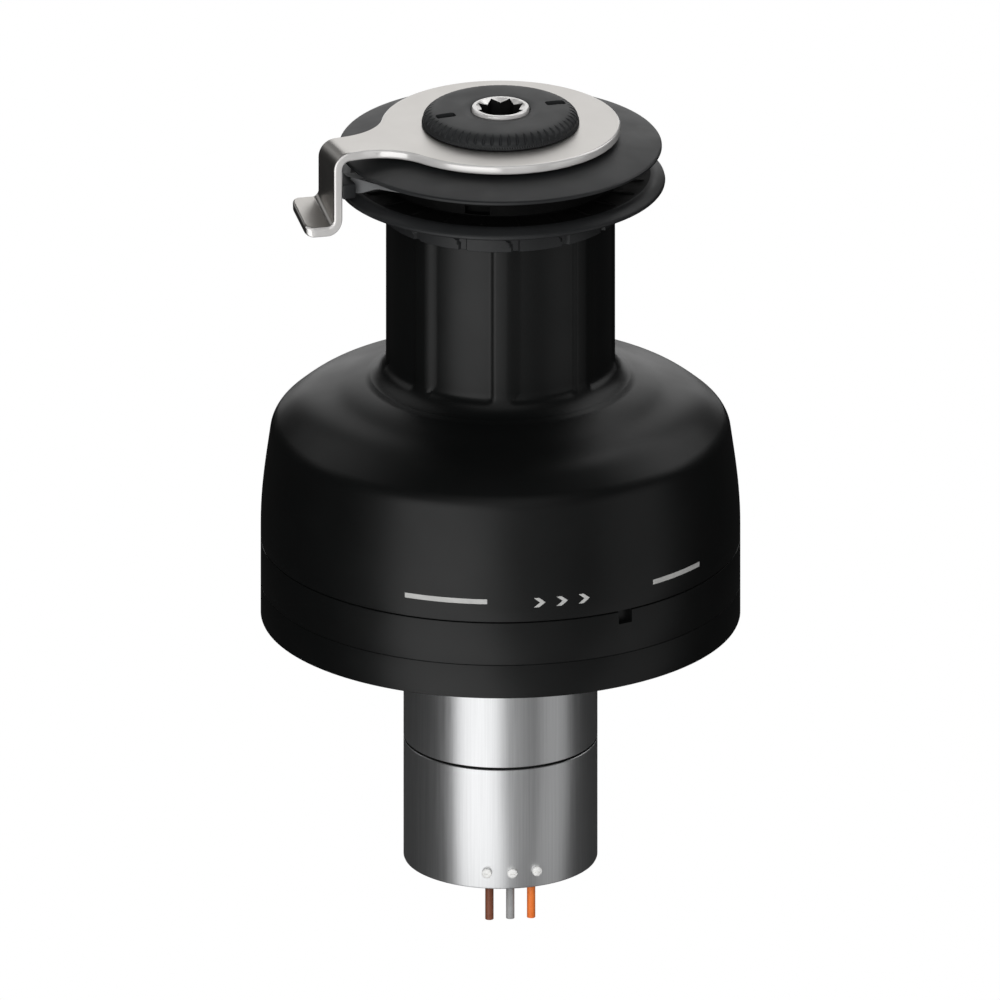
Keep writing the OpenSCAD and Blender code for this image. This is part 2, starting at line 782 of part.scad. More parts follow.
// The feeder hangs behind the leg and its tongue lies in the groove
module feeder() {
    block_in = leg_r - guide_t - feeder_t;
    turn = tongue_sweep + tongue_back;
    color("#1c1d1e") rotate(arm_at) {
        translate([block_in, -feeder_w * 0.4, feeder_z])
            cube([feeder_t, feeder_w, guide_z - top_bend_r - feeder_z]);
        translate([0, 0, feeder_z]) linear_extrude(tongue_h) polygon([
            for (side = [0, 1]) for (i = [0:tongue_steps])
                let (k = side == 0 ? i / tongue_steps : 1 - i / tongue_steps)
                let (low = tongue_root_in + (tongue_tip_in - tongue_root_in) * k)
                let (wide = tongue_root_w + (tongue_tip_w - tongue_root_w) * k)
                let (a = turn * k - tongue_back)
                (side == 0 ? low + wide : low) * [cos(a), sin(a)]
        ]);
    }
}

module cap_snap_ring() {
    color("silver") rotate(20) translate([0, 0, snap_z + 0.1]) rotate_extrude(angle = 330)
        translate([spigot_r - snap_groove + 0.1, 0]) square([2.2, snap_h - 0.2]);
}

module can_upper() {
    color("#9a9c9e") rotate_extrude() polygon([
        [can_bore_r, 0], [can_r, 0], [can_r, -can_joint + seam], [can_r - seam, -can_joint],
        [can_bore_r, -can_joint]
    ]);
}

module can_lower() {
    groove = 0.8;
    color("#a4a6a8") difference() {
        rotate_extrude() polygon([
            [0, can_bottom], [can_r - 1, can_bottom], [can_r, can_bottom + 1],
            [can_r, -can_joint - groove], [can_r - groove, -can_joint],
            [can_bore_r, -can_joint], [can_bore_r, terminal_z], [0, terminal_z]
        ]);
        rotate(lead_bearing) for (i = [-1:1]) translate([lead_at_r, i * lead_pitch, can_bottom - 1])
            cylinder(r = grommet_r, h = can_floor_t + 2);
        for (i = [-1:1]) rotate(lead_bearing + i * lead_screw_sweep)
            translate([can_bore_r - 2, 0, lead_screw_z]) rotate([0, 90, 0])
                cylinder(r = lead_screw_r + fit, h = can_wall + 4);
    }
}

module can_seal() {
    color("#222222") ring(inner_r, can_bore_r - seal_w, -can_joint - 1, 2);
}

module motor_screws() {
    head_seat = floor_t - head_h - head_sink;
    color("silver") around(motor_screw_count, motor_screw_at, 45)
        cap_screw(motor_screw_r, head_seat, head_seat - top_plate_z - 2);
}

module motor_top_plate() {
    color("#808488") difference() {
        ring(inner_r, motor_bearing_r + fit, top_plate_z, end_plate_t);
        around(motor_screw_count, motor_screw_at, 45) translate([0, 0, top_plate_z + 1])
            cylinder(r = motor_screw_r + screw_play, h = end_plate_t);
    }
}

module motor_bottom_plate() {
    color("#808488") {
        ring(inner_r, motor_bearing_r + fit, bottom_plate_z, end_plate_t);
        around(3, spacer_at, 30) translate([0, 0, board_z + board_t])
            cylinder(r = spacer_r, h = bottom_plate_z - board_z - board_t + eps);
    }
}

module motor_bearings() {
    color("lightgray") for (z = [top_plate_z, bottom_plate_z])
        ball_bearing(motor_shaft_r + fit, motor_bearing_r, z, motor_bearing_h);
}

module slot_shape(play) {
    translate([stator_bore_r + tooth_tip_t + play, -slot_w / 2 + play])
        square([slot_depth - 2 * play, slot_w - 2 * play]);
}

module stator_core() {
    color("#5c6064") translate([0, 0, stator_z]) linear_extrude(stator_len) difference() {
        circle(inner_r);
        circle(stator_bore_r);
        for (i = [0:stator_slots - 1]) rotate(360 * i / stator_slots) {
            slot_shape(0);
            translate([stator_bore_r - 1, -slot_mouth / 2]) square([tooth_tip_t + 2, slot_mouth]);
        }
    }
}

module stator_windings() {
    slot_in = stator_bore_r + tooth_tip_t;
    color("#b4652e") {
        translate([0, 0, stator_z - winding_over]) linear_extrude(stator_len + 2 * winding_over)
            for (i = [0:stator_slots - 1]) rotate(360 * i / stator_slots) slot_shape(winding_play);
        for (z = [stator_z - winding_over, stator_top + winding_play])
            ring(slot_in + slot_depth - 1, slot_in + 1, z, winding_over - winding_play);
    }
}

module control_board() {
    color("#2f6b43") difference() {
        ring(board_r, 6, board_z, board_t);
        around(3, spacer_at, 30) translate([0, 0, board_z - 1]) cylinder(r = 1.6, h = board_t + 2);
    }
}

module power_capacitors() {
    color("#3a4a66") around(3, capacitor_at, 90) translate([0, 0, board_z - capacitor_h])
        cylinder(r = capacitor_r, h = capacitor_h);
}

module terminal_block() {
    color("#2b2b2b") difference() {
        intersection() {
            translate([0, 0, terminal_z]) cylinder(r = inner_r, h = terminal_h);
            rotate(lead_bearing) translate([terminal_in, -terminal_w / 2, terminal_z])
                cube([can_r, terminal_w, terminal_h]);
        }
        rotate(lead_bearing) for (i = [-1:1]) translate([lead_at_r, i * lead_pitch, terminal_z - 1])
            cylinder(r = lead_d / 2 + fit, h = lead_top - terminal_z + 1.5);
        for (i = [-1:1]) rotate(lead_bearing + i * lead_screw_sweep)
            translate([lead_reach(i) - 0.5, 0, lead_screw_z]) rotate([0, 90, 0])
                cylinder(r = lead_screw_r + fit, h = can_r);
    }
}

module lead_screws() {
    color("white") for (i = [-1:1]) rotate(lead_bearing + i * lead_screw_sweep)
        translate([0, 0, lead_screw_z]) rotate([0, 90, 0]) {
            translate([0, 0, lead_reach(i)]) cylinder(r = lead_screw_r, h = can_r - lead_reach(i) + 0.5);
            translate([0, 0, can_r]) difference() {
                intersection() {
                    translate([0, 0, -lead_dome_r * 0.8]) sphere(r = lead_dome_r * 1.28);
                    cylinder(r = lead_dome_r, h = lead_dome_r);
                }
                translate([-lead_dome_r, -0.25, 0.6]) cube([2 * lead_dome_r, 0.5, lead_dome_r]);
            }
        }
}

module lead_grommets() {
    color("#222222") rotate(lead_bearing) for (i = [-1:1])
        translate([lead_at_r, i * lead_pitch, 0])
            ring(grommet_r - fit, lead_d / 2 + fit, can_bottom, can_floor_t);
}

module sweep_round(route, r, sides) {
    points = [for (p = route) for (s = [0:sides - 1])
        let (a = 360 * s / sides) p + r * [cos(a), sin(a), 0]];
    last = (len(route) - 1) * sides;
    faces = concat(
        [[for (s = [0:sides - 1]) s]],
        [for (k = [0:len(route) - 2]) for (s = [0:sides - 1])
            let (n = (s + 1) % sides, b = k * sides) [b + s, b + sides + s, b + sides + n, b + n]],
        [[for (s = [sides - 1:-1:0]) last + s]]
    );
    polyhedron(points, faces);
}

module lead(place) {
    rotate(lead_bearing) translate([lead_at_r, place * lead_pitch, 0])
        sweep_round(lead_route, lead_d / 2, lead_sides);
}

module lead_brown() {
    color("#6b3a26") lead(-1);
}

module lead_grey() {
    color("#8f8f8f") lead(0);
}

module lead_orange() {
    color("#ef7d33") lead(1);
}

// Drum and what turns with it

function ease(t) = let (k = max(0, min(1, t))) k * k * (3 - 2 * k);
function barrel_radius(a) =
    let (pitch = 360 / drum_ribs)
    let (from_rib = abs(((a % pitch) + pitch + pitch / 2) % pitch - pitch / 2) * PI / 180 * drum_r)
    drum_r - rib_depth * ease((from_rib - rib_half) / rib_flank);

module barrel_outline() {
    count = drum_ribs * facet_points * 2;
    polygon([for (i = [0:count - 1]) let (a = 360 * i / count)
        barrel_radius(a) * [cos(a + rib_at), sin(a + rib_at)]]);
}

// The drum is one casting, given as two nodes that meet face to face at the barrel's foot
module drum_skirt() {
    outside = concat(
        [[base_r - 0.6, skirt_bottom], [base_r, skirt_bottom + 0.6], [base_r, skirt_z]],
        arc_points(shoulder_c, shoulder_r, side_slope, shoulder_slope),
        arc_points(dome_c, dome_r, shoulder_slope, foot_slope),
        arc_points(fillet_c, foot_fillet_r, 180 + foot_slope, 270)
    );
    inside = concat(
        [[drum_bore_r, drum_foot_z], [drum_bore_r, barrel_bore_z]],
        arc_points(dome_c, dome_r - bell_wall, inner_foot_slope, shoulder_slope),
        arc_points(shoulder_c, shoulder_r - bell_wall, shoulder_slope, side_slope),
        [
            [base_r - skirt_wall, skirt_z + 6], [base_r - skirt_wall, ring_ledge_z + ring_ledge_h],
            [base_r - skirt_wall - ring_ledge_w, ring_ledge_z + ring_ledge_h],
            [base_r - skirt_wall - ring_ledge_w, ring_ledge_z],
            [base_r - skirt_wall, ring_ledge_z], [base_r - skirt_wall, skirt_bottom]
        ]
    );
    color("#121314") difference() {
        rotate_extrude() polygon(concat(outside, inside));
        around(ring_screw_count, ring_screw_at) translate([0, 0, ring_ledge_z - 1])
            cylinder(r = ring_screw_r + screw_play, h = ring_screw_hole);
    }
}

module drum_barrel() {
    color("#121314") difference() {
        translate([0, 0, drum_foot_z]) linear_extrude(drum_top_z - drum_foot_z) barrel_outline();
        translate([0, 0, drum_foot_z - 1]) cylinder(r = drum_bore_r, h = flange_under_z - drum_foot_z + 1);
        translate([0, 0, flange_under_z - 1]) cylinder(r = flange_bore_r, h = drum_flange_t + 2);
        around(jaw_screw_count, jaw_screw_at, 30) translate([0, 0, flange_under_z - 1])
            cylinder(r = screw_r + screw_play, h = drum_flange_t + 2);
    }
}

module drum_ring_gear() {
    color("gray") difference() {
        translate([0, 0, main_gear_z])
            internal_gear(ring_teeth, main_module, gear_w, ring_gear_r, 0);
        around(ring_screw_count, ring_screw_at) {
            translate([0, 0, main_gear_z - 1]) cylinder(r = ring_screw_r + screw_play, h = gear_w + 2);
            translate([0, 0, main_gear_z - 1]) cylinder(r = ring_screw_r * 1.7 + 0.2, h = head_h + 1.4);
        }
    }
}

// The screws of the ring gear and those of the jaw hub
module drum_screws() {
    color("silver") {
        around(ring_screw_count, ring_screw_at) translate([0, 0, main_gear_z + head_h + head_sink])
            mirror([0, 0, 1]) cap_screw(ring_screw_r, 0, gear_w);
        around(jaw_screw_count, jaw_screw_at, 30)
            cap_screw(screw_r, drum_top_z + jaw_flange_t, jaw_screw_len);
    }
}

// Each step has a wall on one side and slopes back to the rim on the other
module crown_outline() {
    steps = [[0, 0], [6, 0], [12, 0], [19, 0], [20.2, 0.7], [21, 1], [25.3, 1]];
    pitch = 360 / crown_steps;
    polygon([for (i = [0:crown_steps - 1]) for (p = steps)
        let (a = crown_edge_at + pitch * (i + p[0] / 25.7))
        (crown_r - 0.15 - crown_notch * p[1]) * [cos(a), sin(a)]]);
}

module crown_ring() {
    color("#2a2b2d") translate([0, 0, drum_top_z]) difference() {
        union() {
            linear_extrude(crown_h - crown_lip) crown_outline();
            cylinder(r = crown_r, h = crown_floor_t);
            translate([0, 0, crown_h - crown_lip - eps]) cylinder(r = crown_r, h = crown_lip + eps);
        }
        translate([0, 0, crown_floor_t]) cylinder(r = lower_hub_r + crown_play, h = crown_h);
        translate([0, 0, -1]) cylinder(r = crown_bore_r, h = crown_h);
    }
}

module jaw_rib(length) {
    translate([0, -rib_w / 2, 0]) cube([length, rib_w, jaw_rib_h + rib_root]);
}

// The hub carries the upper jaw and is screwed to the drum
module jaw_hub() {
    color("#2a2b2d") difference() {
        rotate_extrude() polygon([
            [jaw_bore_r, drum_top_z], [upper_hub_r, drum_top_z],
            [upper_hub_r, upper_under_z - upper_cone_h],
            [upper_hub_r - jaw_hub_t, upper_under_z - upper_cone_h],
            [upper_hub_r - jaw_hub_t, drum_top_z + jaw_flange_t], [jaw_bore_r, drum_top_z + jaw_flange_t]
        ]);
        around(jaw_screw_count, jaw_screw_at, 30) translate([0, 0, drum_top_z - 1])
            cylinder(r = screw_r + screw_play, h = jaw_flange_t + 2);
    }
}

module upper_jaw() {
    rib_tilt = atan2(upper_cone_h, upper_jaw_r - 1 - upper_hub_r);
    rib_top = upper_under_z - upper_cone_h + (rib_in_r - upper_hub_r) * tan(rib_tilt) + rib_root;
    color("#3c3d3f") union() {
        rotate_extrude() polygon([
            [upper_hub_r - jaw_hub_t, upper_under_z - upper_cone_h],
            [upper_hub_r, upper_under_z - upper_cone_h],
            [upper_jaw_r - 1, upper_under_z], [upper_jaw_r, upper_under_z + 0.7],
            [upper_jaw_r, upper_rim_z - 0.5], [upper_jaw_r - 1, upper_rim_z],
            [guide_r, upper_top_z], [upper_hub_r - jaw_hub_t, upper_top_z]
        ]);
        for (i = [0:jaw_ribs - 1]) rotate(360 * i / jaw_ribs) translate([rib_in_r, 0, rib_top])
            rotate([0, -rib_tilt, 0]) mirror([0, 0, 1]) jaw_rib(rib_len);
    }
}

module jaw_springs() {
    rings = ceil(spring_turns * spring_rings);
    rise = spring_len - 2 * spring_wire_r - 0.1;
    points = [for (k = [0:rings]) for (s = [0:spring_sides - 1])
        let (turn = 360 * k / spring_rings, a = 360 * s / spring_sides)
        let (r = spring_r + spring_wire_r * cos(a))
        [r * cos(turn), r * sin(turn), spring_wire_r * (1 + sin(a)) + rise * k / rings]];
    faces = concat(
        [[for (s = [0:spring_sides - 1]) s]],
        [for (k = [0:rings - 1]) for (s = [0:spring_sides - 1])
            let (n = (s + 1) % spring_sides, b = k * spring_sides)
            [b + s, b + spring_sides + s, b + spring_sides + n, b + n]],
        [[for (s = [spring_sides - 1:-1:0]) rings * spring_sides + s]]
    );
    color("silver") around(spring_count, spring_path_r) translate([0, 0, spring_z + 0.05])
        polyhedron(points, faces);
}

module lower_jaw() {
    hub_plate_z = lower_rim_z + hub_plate_up;
    rib_tilt = atan2(hub_plate_z - lower_rim_z + 0.4, jaw_mid_r - lower_hub_r);
    color("#37383a") {
        difference() {
            rotate_extrude() polygon([
                [lower_hub_bore_r, lower_hub_z], [lower_hub_r, lower_hub_z], [lower_hub_r, lower_under_z],
                [jaw_mid_r, lower_under_z], [lower_jaw_r - 0.8, lower_rim_z - jaw_t],
                [lower_jaw_r, lower_rim_z - jaw_t + 0.7], [lower_jaw_r, lower_rim_z - 0.5],
                [lower_jaw_r - 0.8, lower_rim_z], [jaw_mid_r, lower_rim_z - 0.4], [lower_hub_r, hub_plate_z],
                [lower_hub_r, lower_hub_top], [lower_hub_bore_r, lower_hub_top]
            ]);
            for (i = [0:3]) rotate(window_at + 90 * i)
                translate([lower_hub_bore_r - 2, -window_w / 2, window_z]) cube([8, window_w, window_h]);
        }
        for (i = [0:jaw_ribs - 1]) rotate(360 * (i + 0.5) / jaw_ribs)
            translate([lower_hub_r - 0.5, 0, hub_plate_z - rib_root]) rotate([0, rib_tilt, 0])
                jaw_rib(jaw_mid_r - lower_hub_r);
    }
}

module lower_rollers() {
    roller_bearing(lower_roller_z);
}

module upper_rollers() {
    roller_bearing(upper_roller_z);
}

// Drive shaft

module planet_carrier() {
    color("#75797d") {
        translate([0, 0, carrier_z]) cylinder(r = carrier_r, h = carrier_t);
        translate([0, 0, carrier_z]) cylinder(r = bearing_bore_r, h = housing_top + 1 - carrier_z);
        translate([0, 0, carrier_z]) cylinder(r = pinion_shaft_r, h = cup_z + cup_floor_t - carrier_z);
        for (a = planet_bearings) rotate(a) translate([planet_at_r, 0, planet_z])
            cylinder(r = planet_pin_r, h = carrier_z - planet_z + eps);
    }
}

module pinion() {
    color("#90949a") translate([0, 0, main_gear_z])
        spur_gear(pinion_teeth, main_module, gear_w, pinion_shaft_r + fit, 0);
}

module ratchet_outline() {
    polygon([for (i = [0:ratchet_teeth - 1]) for (k = [0, 1])
        let (a = ratchet_turn + 360 * (i + (k == 0 ? 0.04 : 1)) / ratchet_teeth)
        let (r = ratchet_r - ratchet_depth * (1 - k))
        r * [cos(a), sin(a)]]);
}

module ratchet_cup() {
    color("#6f7377") translate([0, 0, cup_z]) difference() {
        cylinder(r = cup_r, h = cup_floor_t + ratchet_h);
        translate([0, 0, -1]) cylinder(r = pinion_shaft_r + fit, h = cup_floor_t + 2);
        translate([0, 0, cup_floor_t]) linear_extrude(ratchet_h + 1) ratchet_outline();
    }
}

module star_socket() {
    for (turn = [0, 45]) rotate(turn + star_at) square(socket_af, center = true);
}

module spindle() {
    color("#b9babc") difference() {
        union() {
            rotate_extrude() polygon([
                [0, pawl_z], [spindle_pilot_r, pawl_z], [spindle_pilot_r, spindle_flange_z],
                [spindle_flange_r, spindle_flange_z],
                [spindle_flange_r, spindle_flange_z + spindle_flange_t],
                [spindle_r, spindle_flange_z + spindle_flange_t], [spindle_r, head_z],
                [spindle_head_r, head_z + 3], [spindle_head_r, spindle_top - 1.2],
                [spindle_head_r - 1.2, spindle_top], [0, spindle_top]
            ]);
            for (a = pawl_bearings) rotate(a) translate([pawl_pin_at, 0, pawl_z])
                cylinder(r = pawl_pin_r, h = spindle_flange_z - pawl_z + eps);
        }
        translate([0, 0, spindle_top - socket_depth]) linear_extrude(socket_depth + 1) star_socket();
    }
}

// A pawl turns on its pin and its tip stands in a ratchet valley
module pawl(bearing) {
    tip_r = ratchet_r - pawl_tip_in;
    tip_angle = 360 / ratchet_teeth;
    tip = tip_r * [cos(tip_angle - 2), sin(tip_angle - 2)];
    heel = (tip_r - 2.2) * [cos(tip_angle - 3), sin(tip_angle - 3)];
    color("#a8733a") rotate(bearing) translate([0, 0, pawl_z + 0.2]) linear_extrude(pawl_h) difference() {
        union() {
            translate([pawl_pin_at, 0]) circle(pawl_eye_r);
            polygon([[pawl_pin_at + pawl_eye_r, 0], tip, heel, [pawl_pin_at - pawl_eye_r + 0.4, 0.8]]);
        }
        translate([pawl_pin_at, 0]) circle(pawl_pin_r + fit);
    }
}

module pawl_a() {
    pawl(pawl_bearings[0]);
}

module pawl_b() {
    pawl(pawl_bearings[1]);
}

module planet_gear(place) {
    bearing = planet_bearings[place];
    color("#9da1a6") rotate(bearing) translate([planet_at_r, 0, planet_z])
        spur_gear(planet_teeth, planet_module, planet_w, planet_pin_r + fit, 180 / planet_teeth);
}

module planet_gear_1() {
    planet_gear(0);
}

module planet_gear_2() {
    planet_gear(1);
}

module planet_gear_3() {
    planet_gear(2);
}

module idler_gear(side) {
    color("#9da1a6") rotate(side) translate([idler_at_r, 0, main_gear_z])
        spur_gear(idler_teeth, main_module, gear_w, idler_shaft_r + fit, 0);
}

module idler_gear_1() {
    idler_gear(0);
}

module idler_gear_2() {
    idler_gear(180);
}

// Motor rotor

module rotor_core() {
    color("#55585c") ring(rotor_r, motor_shaft_r + fit, stator_z, stator_len);
}

module rotor_magnets() {
    color("#7d8187") translate([0, 0, stator_z]) for (i = [0:magnet_count - 1])
        rotate(360 * i / magnet_count) rotate_extrude(angle = 360 / magnet_count - magnet_gap)
            translate([rotor_r + fit, 0]) square([magnet_t, stator_len]);
}

module rotor_shaft() {
    color("#b0b3b6") {
        translate([0, 0, bottom_plate_z - 2]) cylinder(r = motor_shaft_r, h = planet_z - bottom_plate_z + 2 + eps);
        translate([0, 0, planet_z]) spur_gear(sun_teeth, planet_module, planet_w, eps, 0);
    }
}

// Cap over the stem's spigot

module top_cap() {
    flute_r = 0.9;
    lip_h = 1.6;
    color("#3a3b3d") translate([0, 0, cap_z]) difference() {
        union() {
            cylinder(r = cap_r, h = lip_h);
            rotate_extrude() polygon([
                [0, 0], [cap_r - 0.8, 0], [cap_r - 0.8, cap_h - 2.6], [cap_r - 1.6, cap_h - 1],
                [cap_r - 3.6, cap_h - 0.2], [24, cap_h], [0, cap_h]
            ]);
        }
        around(cap_flutes, cap_r) translate([0, 0, lip_h]) cylinder(r = flute_r, h = cap_h);
        translate([0, 0, -1]) cylinder(r = spindle_head_r + 0.5, h = cap_h + 2);
        translate([0, 0, -1]) cylinder(r = spigot_r + 0.3, h = spigot_top - cap_z + 1.3);
        translate([0, 0, snap_z - cap_z - 0.2]) cylinder(r = spigot_r + 1.8, h = snap_h + 0.4);
        for (side = [0, 180]) rotate(arm_at - 4 + side) translate([cap_slot_at, 0, cap_h - 3])
            translate([-cap_slot_w / 2, -cap_slot_len / 2, 0]) cube([cap_slot_w, cap_slot_len, 4]);
    }
}

base_plate();
gear_housing();
housing_seal();
housing_screws();
planet_ring_gear();
carrier_bearing();
gear_cage();
idler_shafts();
stem();
stem_screws();
spindle_bushes();
spindle_seal();
thrust_washer();
line_guide();
guide_screws();
feeder();
cap_snap_ring();
can_upper();
can_lower();
can_seal();
motor_screws();
motor_top_plate();
motor_bottom_plate();
motor_bearings();
stator_core();
stator_windings();
control_board();
power_capacitors();
terminal_block();
lead_screws();
lead_grommets();
lead_brown();
lead_grey();
lead_orange();
drum_skirt();
drum_barrel();
drum_ring_gear();
drum_screws();
crown_ring();
jaw_hub();
upper_jaw();
jaw_springs();
lower_jaw();
planet_carrier();
pinion();
ratchet_cup();
spindle();
pawl_a();
pawl_b();
planet_gear_1();
planet_gear_2();
planet_gear_3();
idler_gear_1();
idler_gear_2();
rotor_core();
rotor_magnets();
rotor_shaft();
lower_rollers();
upper_rollers();
top_cap();
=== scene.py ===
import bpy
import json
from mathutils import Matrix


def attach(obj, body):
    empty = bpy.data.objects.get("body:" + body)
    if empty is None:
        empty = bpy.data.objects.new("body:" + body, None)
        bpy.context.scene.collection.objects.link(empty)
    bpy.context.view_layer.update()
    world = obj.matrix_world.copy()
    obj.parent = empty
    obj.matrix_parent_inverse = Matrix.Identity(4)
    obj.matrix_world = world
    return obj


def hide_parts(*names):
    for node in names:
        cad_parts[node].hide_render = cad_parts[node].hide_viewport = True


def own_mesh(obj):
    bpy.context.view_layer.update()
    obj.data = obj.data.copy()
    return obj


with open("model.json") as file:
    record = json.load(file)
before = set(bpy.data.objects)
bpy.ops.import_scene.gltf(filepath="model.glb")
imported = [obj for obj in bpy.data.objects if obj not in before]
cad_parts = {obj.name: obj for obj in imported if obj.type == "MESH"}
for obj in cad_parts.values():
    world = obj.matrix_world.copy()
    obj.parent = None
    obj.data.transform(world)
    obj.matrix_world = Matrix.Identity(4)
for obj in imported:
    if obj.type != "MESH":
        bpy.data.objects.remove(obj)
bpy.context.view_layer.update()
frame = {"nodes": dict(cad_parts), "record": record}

import json
import math

import bpy
from mathutils import Vector

full = 2 * math.pi
finely = 384    # steps round a large turned piece


def mm(value):
    return value / 1000


# Object and edit mode helpers

def onlySelect(piece):
    bpy.ops.object.select_all(action="DESELECT")
    piece.select_set(True)
    bpy.context.view_layer.objects.active = piece


def editMode(mode="VERT"):
    bpy.ops.object.mode_set(mode="EDIT")
    bpy.ops.mesh.select_mode(type=mode)


def objectMode():
    bpy.ops.object.mode_set(mode="OBJECT")


def startPiece(name, kind="plane", **settings):
    # adds a primitive at its size and place, alone in the selection
    bpy.ops.object.select_all(action="DESELECT")
    getattr(bpy.ops.mesh, f"primitive_{kind}_add")(**settings)
    piece = bpy.context.active_object
    piece.name = name
    piece.data.name = name
    bpy.ops.object.transform_apply(location=True, rotation=True, scale=True)
    return piece


def pickVerts(piece, test):
    # selects by place, in object mode, and leaves edit mode open
    editMode("VERT")
    bpy.ops.mesh.select_all(action="DESELECT")
    objectMode()
    for vert in piece.data.vertices:
        vert.select = test(vert.co * 1000)
    editMode("VERT")


def pickEdges(piece, test):
    editMode("EDGE")
    bpy.ops.mesh.select_all(action="DESELECT")
    objectMode()
    verts = piece.data.vertices
    for edge in piece.data.edges:
        a, b = (verts[i].co * 1000 for i in edge.vertices)
        edge.select = test(a, b)
    editMode("EDGE")


def cleanUp(piece, distance=0.004):
    onlySelect(piece)
    editMode("VERT")
    bpy.ops.mesh.select_all(action="SELECT")
    bpy.ops.mesh.remove_doubles(threshold=mm(distance))
    bpy.ops.mesh.normals_make_consistent(inside=False)
    objectMode()


def smooth(piece, degrees=32, weighted=False):
    onlySelect(piece)
    bpy.ops.object.shade_smooth_by_angle(angle=math.radians(degrees))
    if weighted:
        applyModifier(piece, "WEIGHTED_NORMAL", keep_sharp=True, weight=100)


def applyModifier(piece, kind, **settings):
    onlySelect(piece)
    modifier = piece.modifiers.new(kind.title(), kind)
    for key, value in settings.items():
        setattr(modifier, key, value)
    bpy.ops.object.modifier_apply(modifier=modifier.name)


def cutAway(piece, cutter):
    applyModifier(piece, "BOOLEAN", object=cutter, operation="DIFFERENCE", solver="EXACT")
    bpy.data.objects.remove(cutter)


def startBlock(name, middle, sizes, turn=0.0):
    # a block by its middle and sizes in millimetres, turned by degrees about the upright axis
    return startPiece(name, "cube", size=1, location=[mm(c) for c in middle], scale=[mm(c) for c in sizes],
                      rotation=(0, 0, math.radians(turn)))


def breakEdges(piece, width, segments):
    # a small bevel along every edge
    onlySelect(piece)
    editMode("EDGE")
    bpy.ops.mesh.select_all(action="SELECT")
    bpy.ops.mesh.bevel(offset=mm(width), segments=segments, affect="EDGES")
    objectMode()


def moveVerts(piece, place):
    # place gets a point in millimetres and gives its new one
    for vert in piece.data.vertices:
        vert.co = Vector(place(*(vert.co * 1000))) / 1000
    piece.data.update()


def joinPieces(name, pieces):
    bpy.ops.object.select_all(action="DESELECT")
    for piece in pieces:
        piece.select_set(True)
    bpy.context.view_layer.objects.active = pieces[0]
    bpy.ops.object.join()
    pieces[0].name = pieces[0].data.name = name
    return pieces[0]


def turnRound(piece, degrees):
    c, s, _ = bearing(degrees, 1)
    moveVerts(piece, lambda x, y, z: (x * c - y * s, x * s + y * c, z))


def copiesAround(piece, count, start=0.0):
    # copies of a piece that is modelled on the +X side, each with its own mesh
    made = []
    for i in range(count):
        twin = piece.copy()
        twin.data = piece.data.copy()
        bpy.context.collection.objects.link(twin)
        turnRound(twin, start + 360 * i / count)
        made.append(twin)
    bpy.data.objects.remove(piece)
    return made


def arc(centre, radius, start, end, count):
    # angles from straight up towards the outside, in degrees
    turns = [math.radians(start + (end - start) * i / count) for i in range(count + 1)]
    return [(centre[0] + radius * math.sin(t), centre[1] + radius * math.cos(t)) for t in turns]


def drawLine(name, points):
    # one vertex, extruded from point to point
    piece = startPiece(name, size=mm(1), location=(0, 0, 0))
    editMode("VERT")
    bpy.ops.mesh.select_all(action="SELECT")
    bpy.ops.mesh.merge(type="CENTER")
    bpy.ops.transform.translate(value=[mm(c) for c in points[0]])
    for a, b in zip(points, points[1:]):
        step = [mm(q - p) for p, q in zip(a, b)]
        bpy.ops.mesh.extrude_region_move(TRANSFORM_OT_translate={"value": step})
    objectMode()
    return piece


def turned(name, outline, steps=256, closed=True):
    # a lathe: the outline in radius and height, spun round the drum's axis
    points = [(r, 0, z) for r, z in outline]
    if closed:
        points.append(points[0])
    piece = drawLine(name, points)
    editMode("VERT")
    bpy.ops.mesh.select_all(action="SELECT")
    bpy.ops.mesh.spin(steps=steps, angle=full, center=(0, 0, 0), axis=(0, 0, 1))
    objectMode()
    cleanUp(piece)
    return piece


def drill(piece, radius, places, depth, sides=40):
    # upright round holes, cut by one boolean each
    for place in places:
        cutAway(piece, startPiece("drillBit", "cylinder", vertices=sides, radius=mm(radius), depth=mm(depth),
                                  location=[mm(c) for c in place]))


def bearing(degrees, radius, z=0.0):
    return radius * math.cos(math.radians(degrees)), radius * math.sin(math.radians(degrees)), z


def angleBetween(a, b):
    return (a - b + 180) % 360 - 180


def blendIn(value, low, high):
    t = min(1, max(0, (value - low) / (high - low)))
    return t * t * (3 - 2 * t)


# Materials

def hexColour(code):
    parts = [int(code[i:i + 2], 16) / 255 for i in (0, 2, 4)]
    return [p / 12.92 if p <= 0.04045 else ((p + 0.055) / 1.055) ** 2.4 for p in parts] + [1]


def addNode(tree, kind, settings=None, links=None):
    node = tree.nodes.new(kind)
    for key, value in (settings or {}).items():
        if isinstance(key, int) or key in node.inputs:
            node.inputs[key].default_value = value
        else:
            setattr(node, key, value)
    for key, source in (links or {}).items():
        tree.links.new(source, node.inputs[key])
    return node


def startMaterial(name):
    material = bpy.data.materials.new(name)
    material.use_nodes = True
    tree = material.node_tree
    tree.nodes.clear()
    place = addNode(tree, "ShaderNodeTexCoord").outputs["Object"]
    return material, tree, place


def finishMaterial(tree, settings, links):
    shader = addNode(tree, "ShaderNodeBsdfPrincipled", settings, links)
    addNode(tree, "ShaderNodeOutputMaterial", links={"Surface": shader.outputs[0]})


def spread(tree, pattern, low, high):
    # stretches the middle of a noise pattern over a range
    limits = {"From Min": 0.3, "From Max": 0.7, "To Min": low, "To Max": high}
    return addNode(tree, "ShaderNodeMapRange", limits, {"Value": pattern}).outputs["Result"]


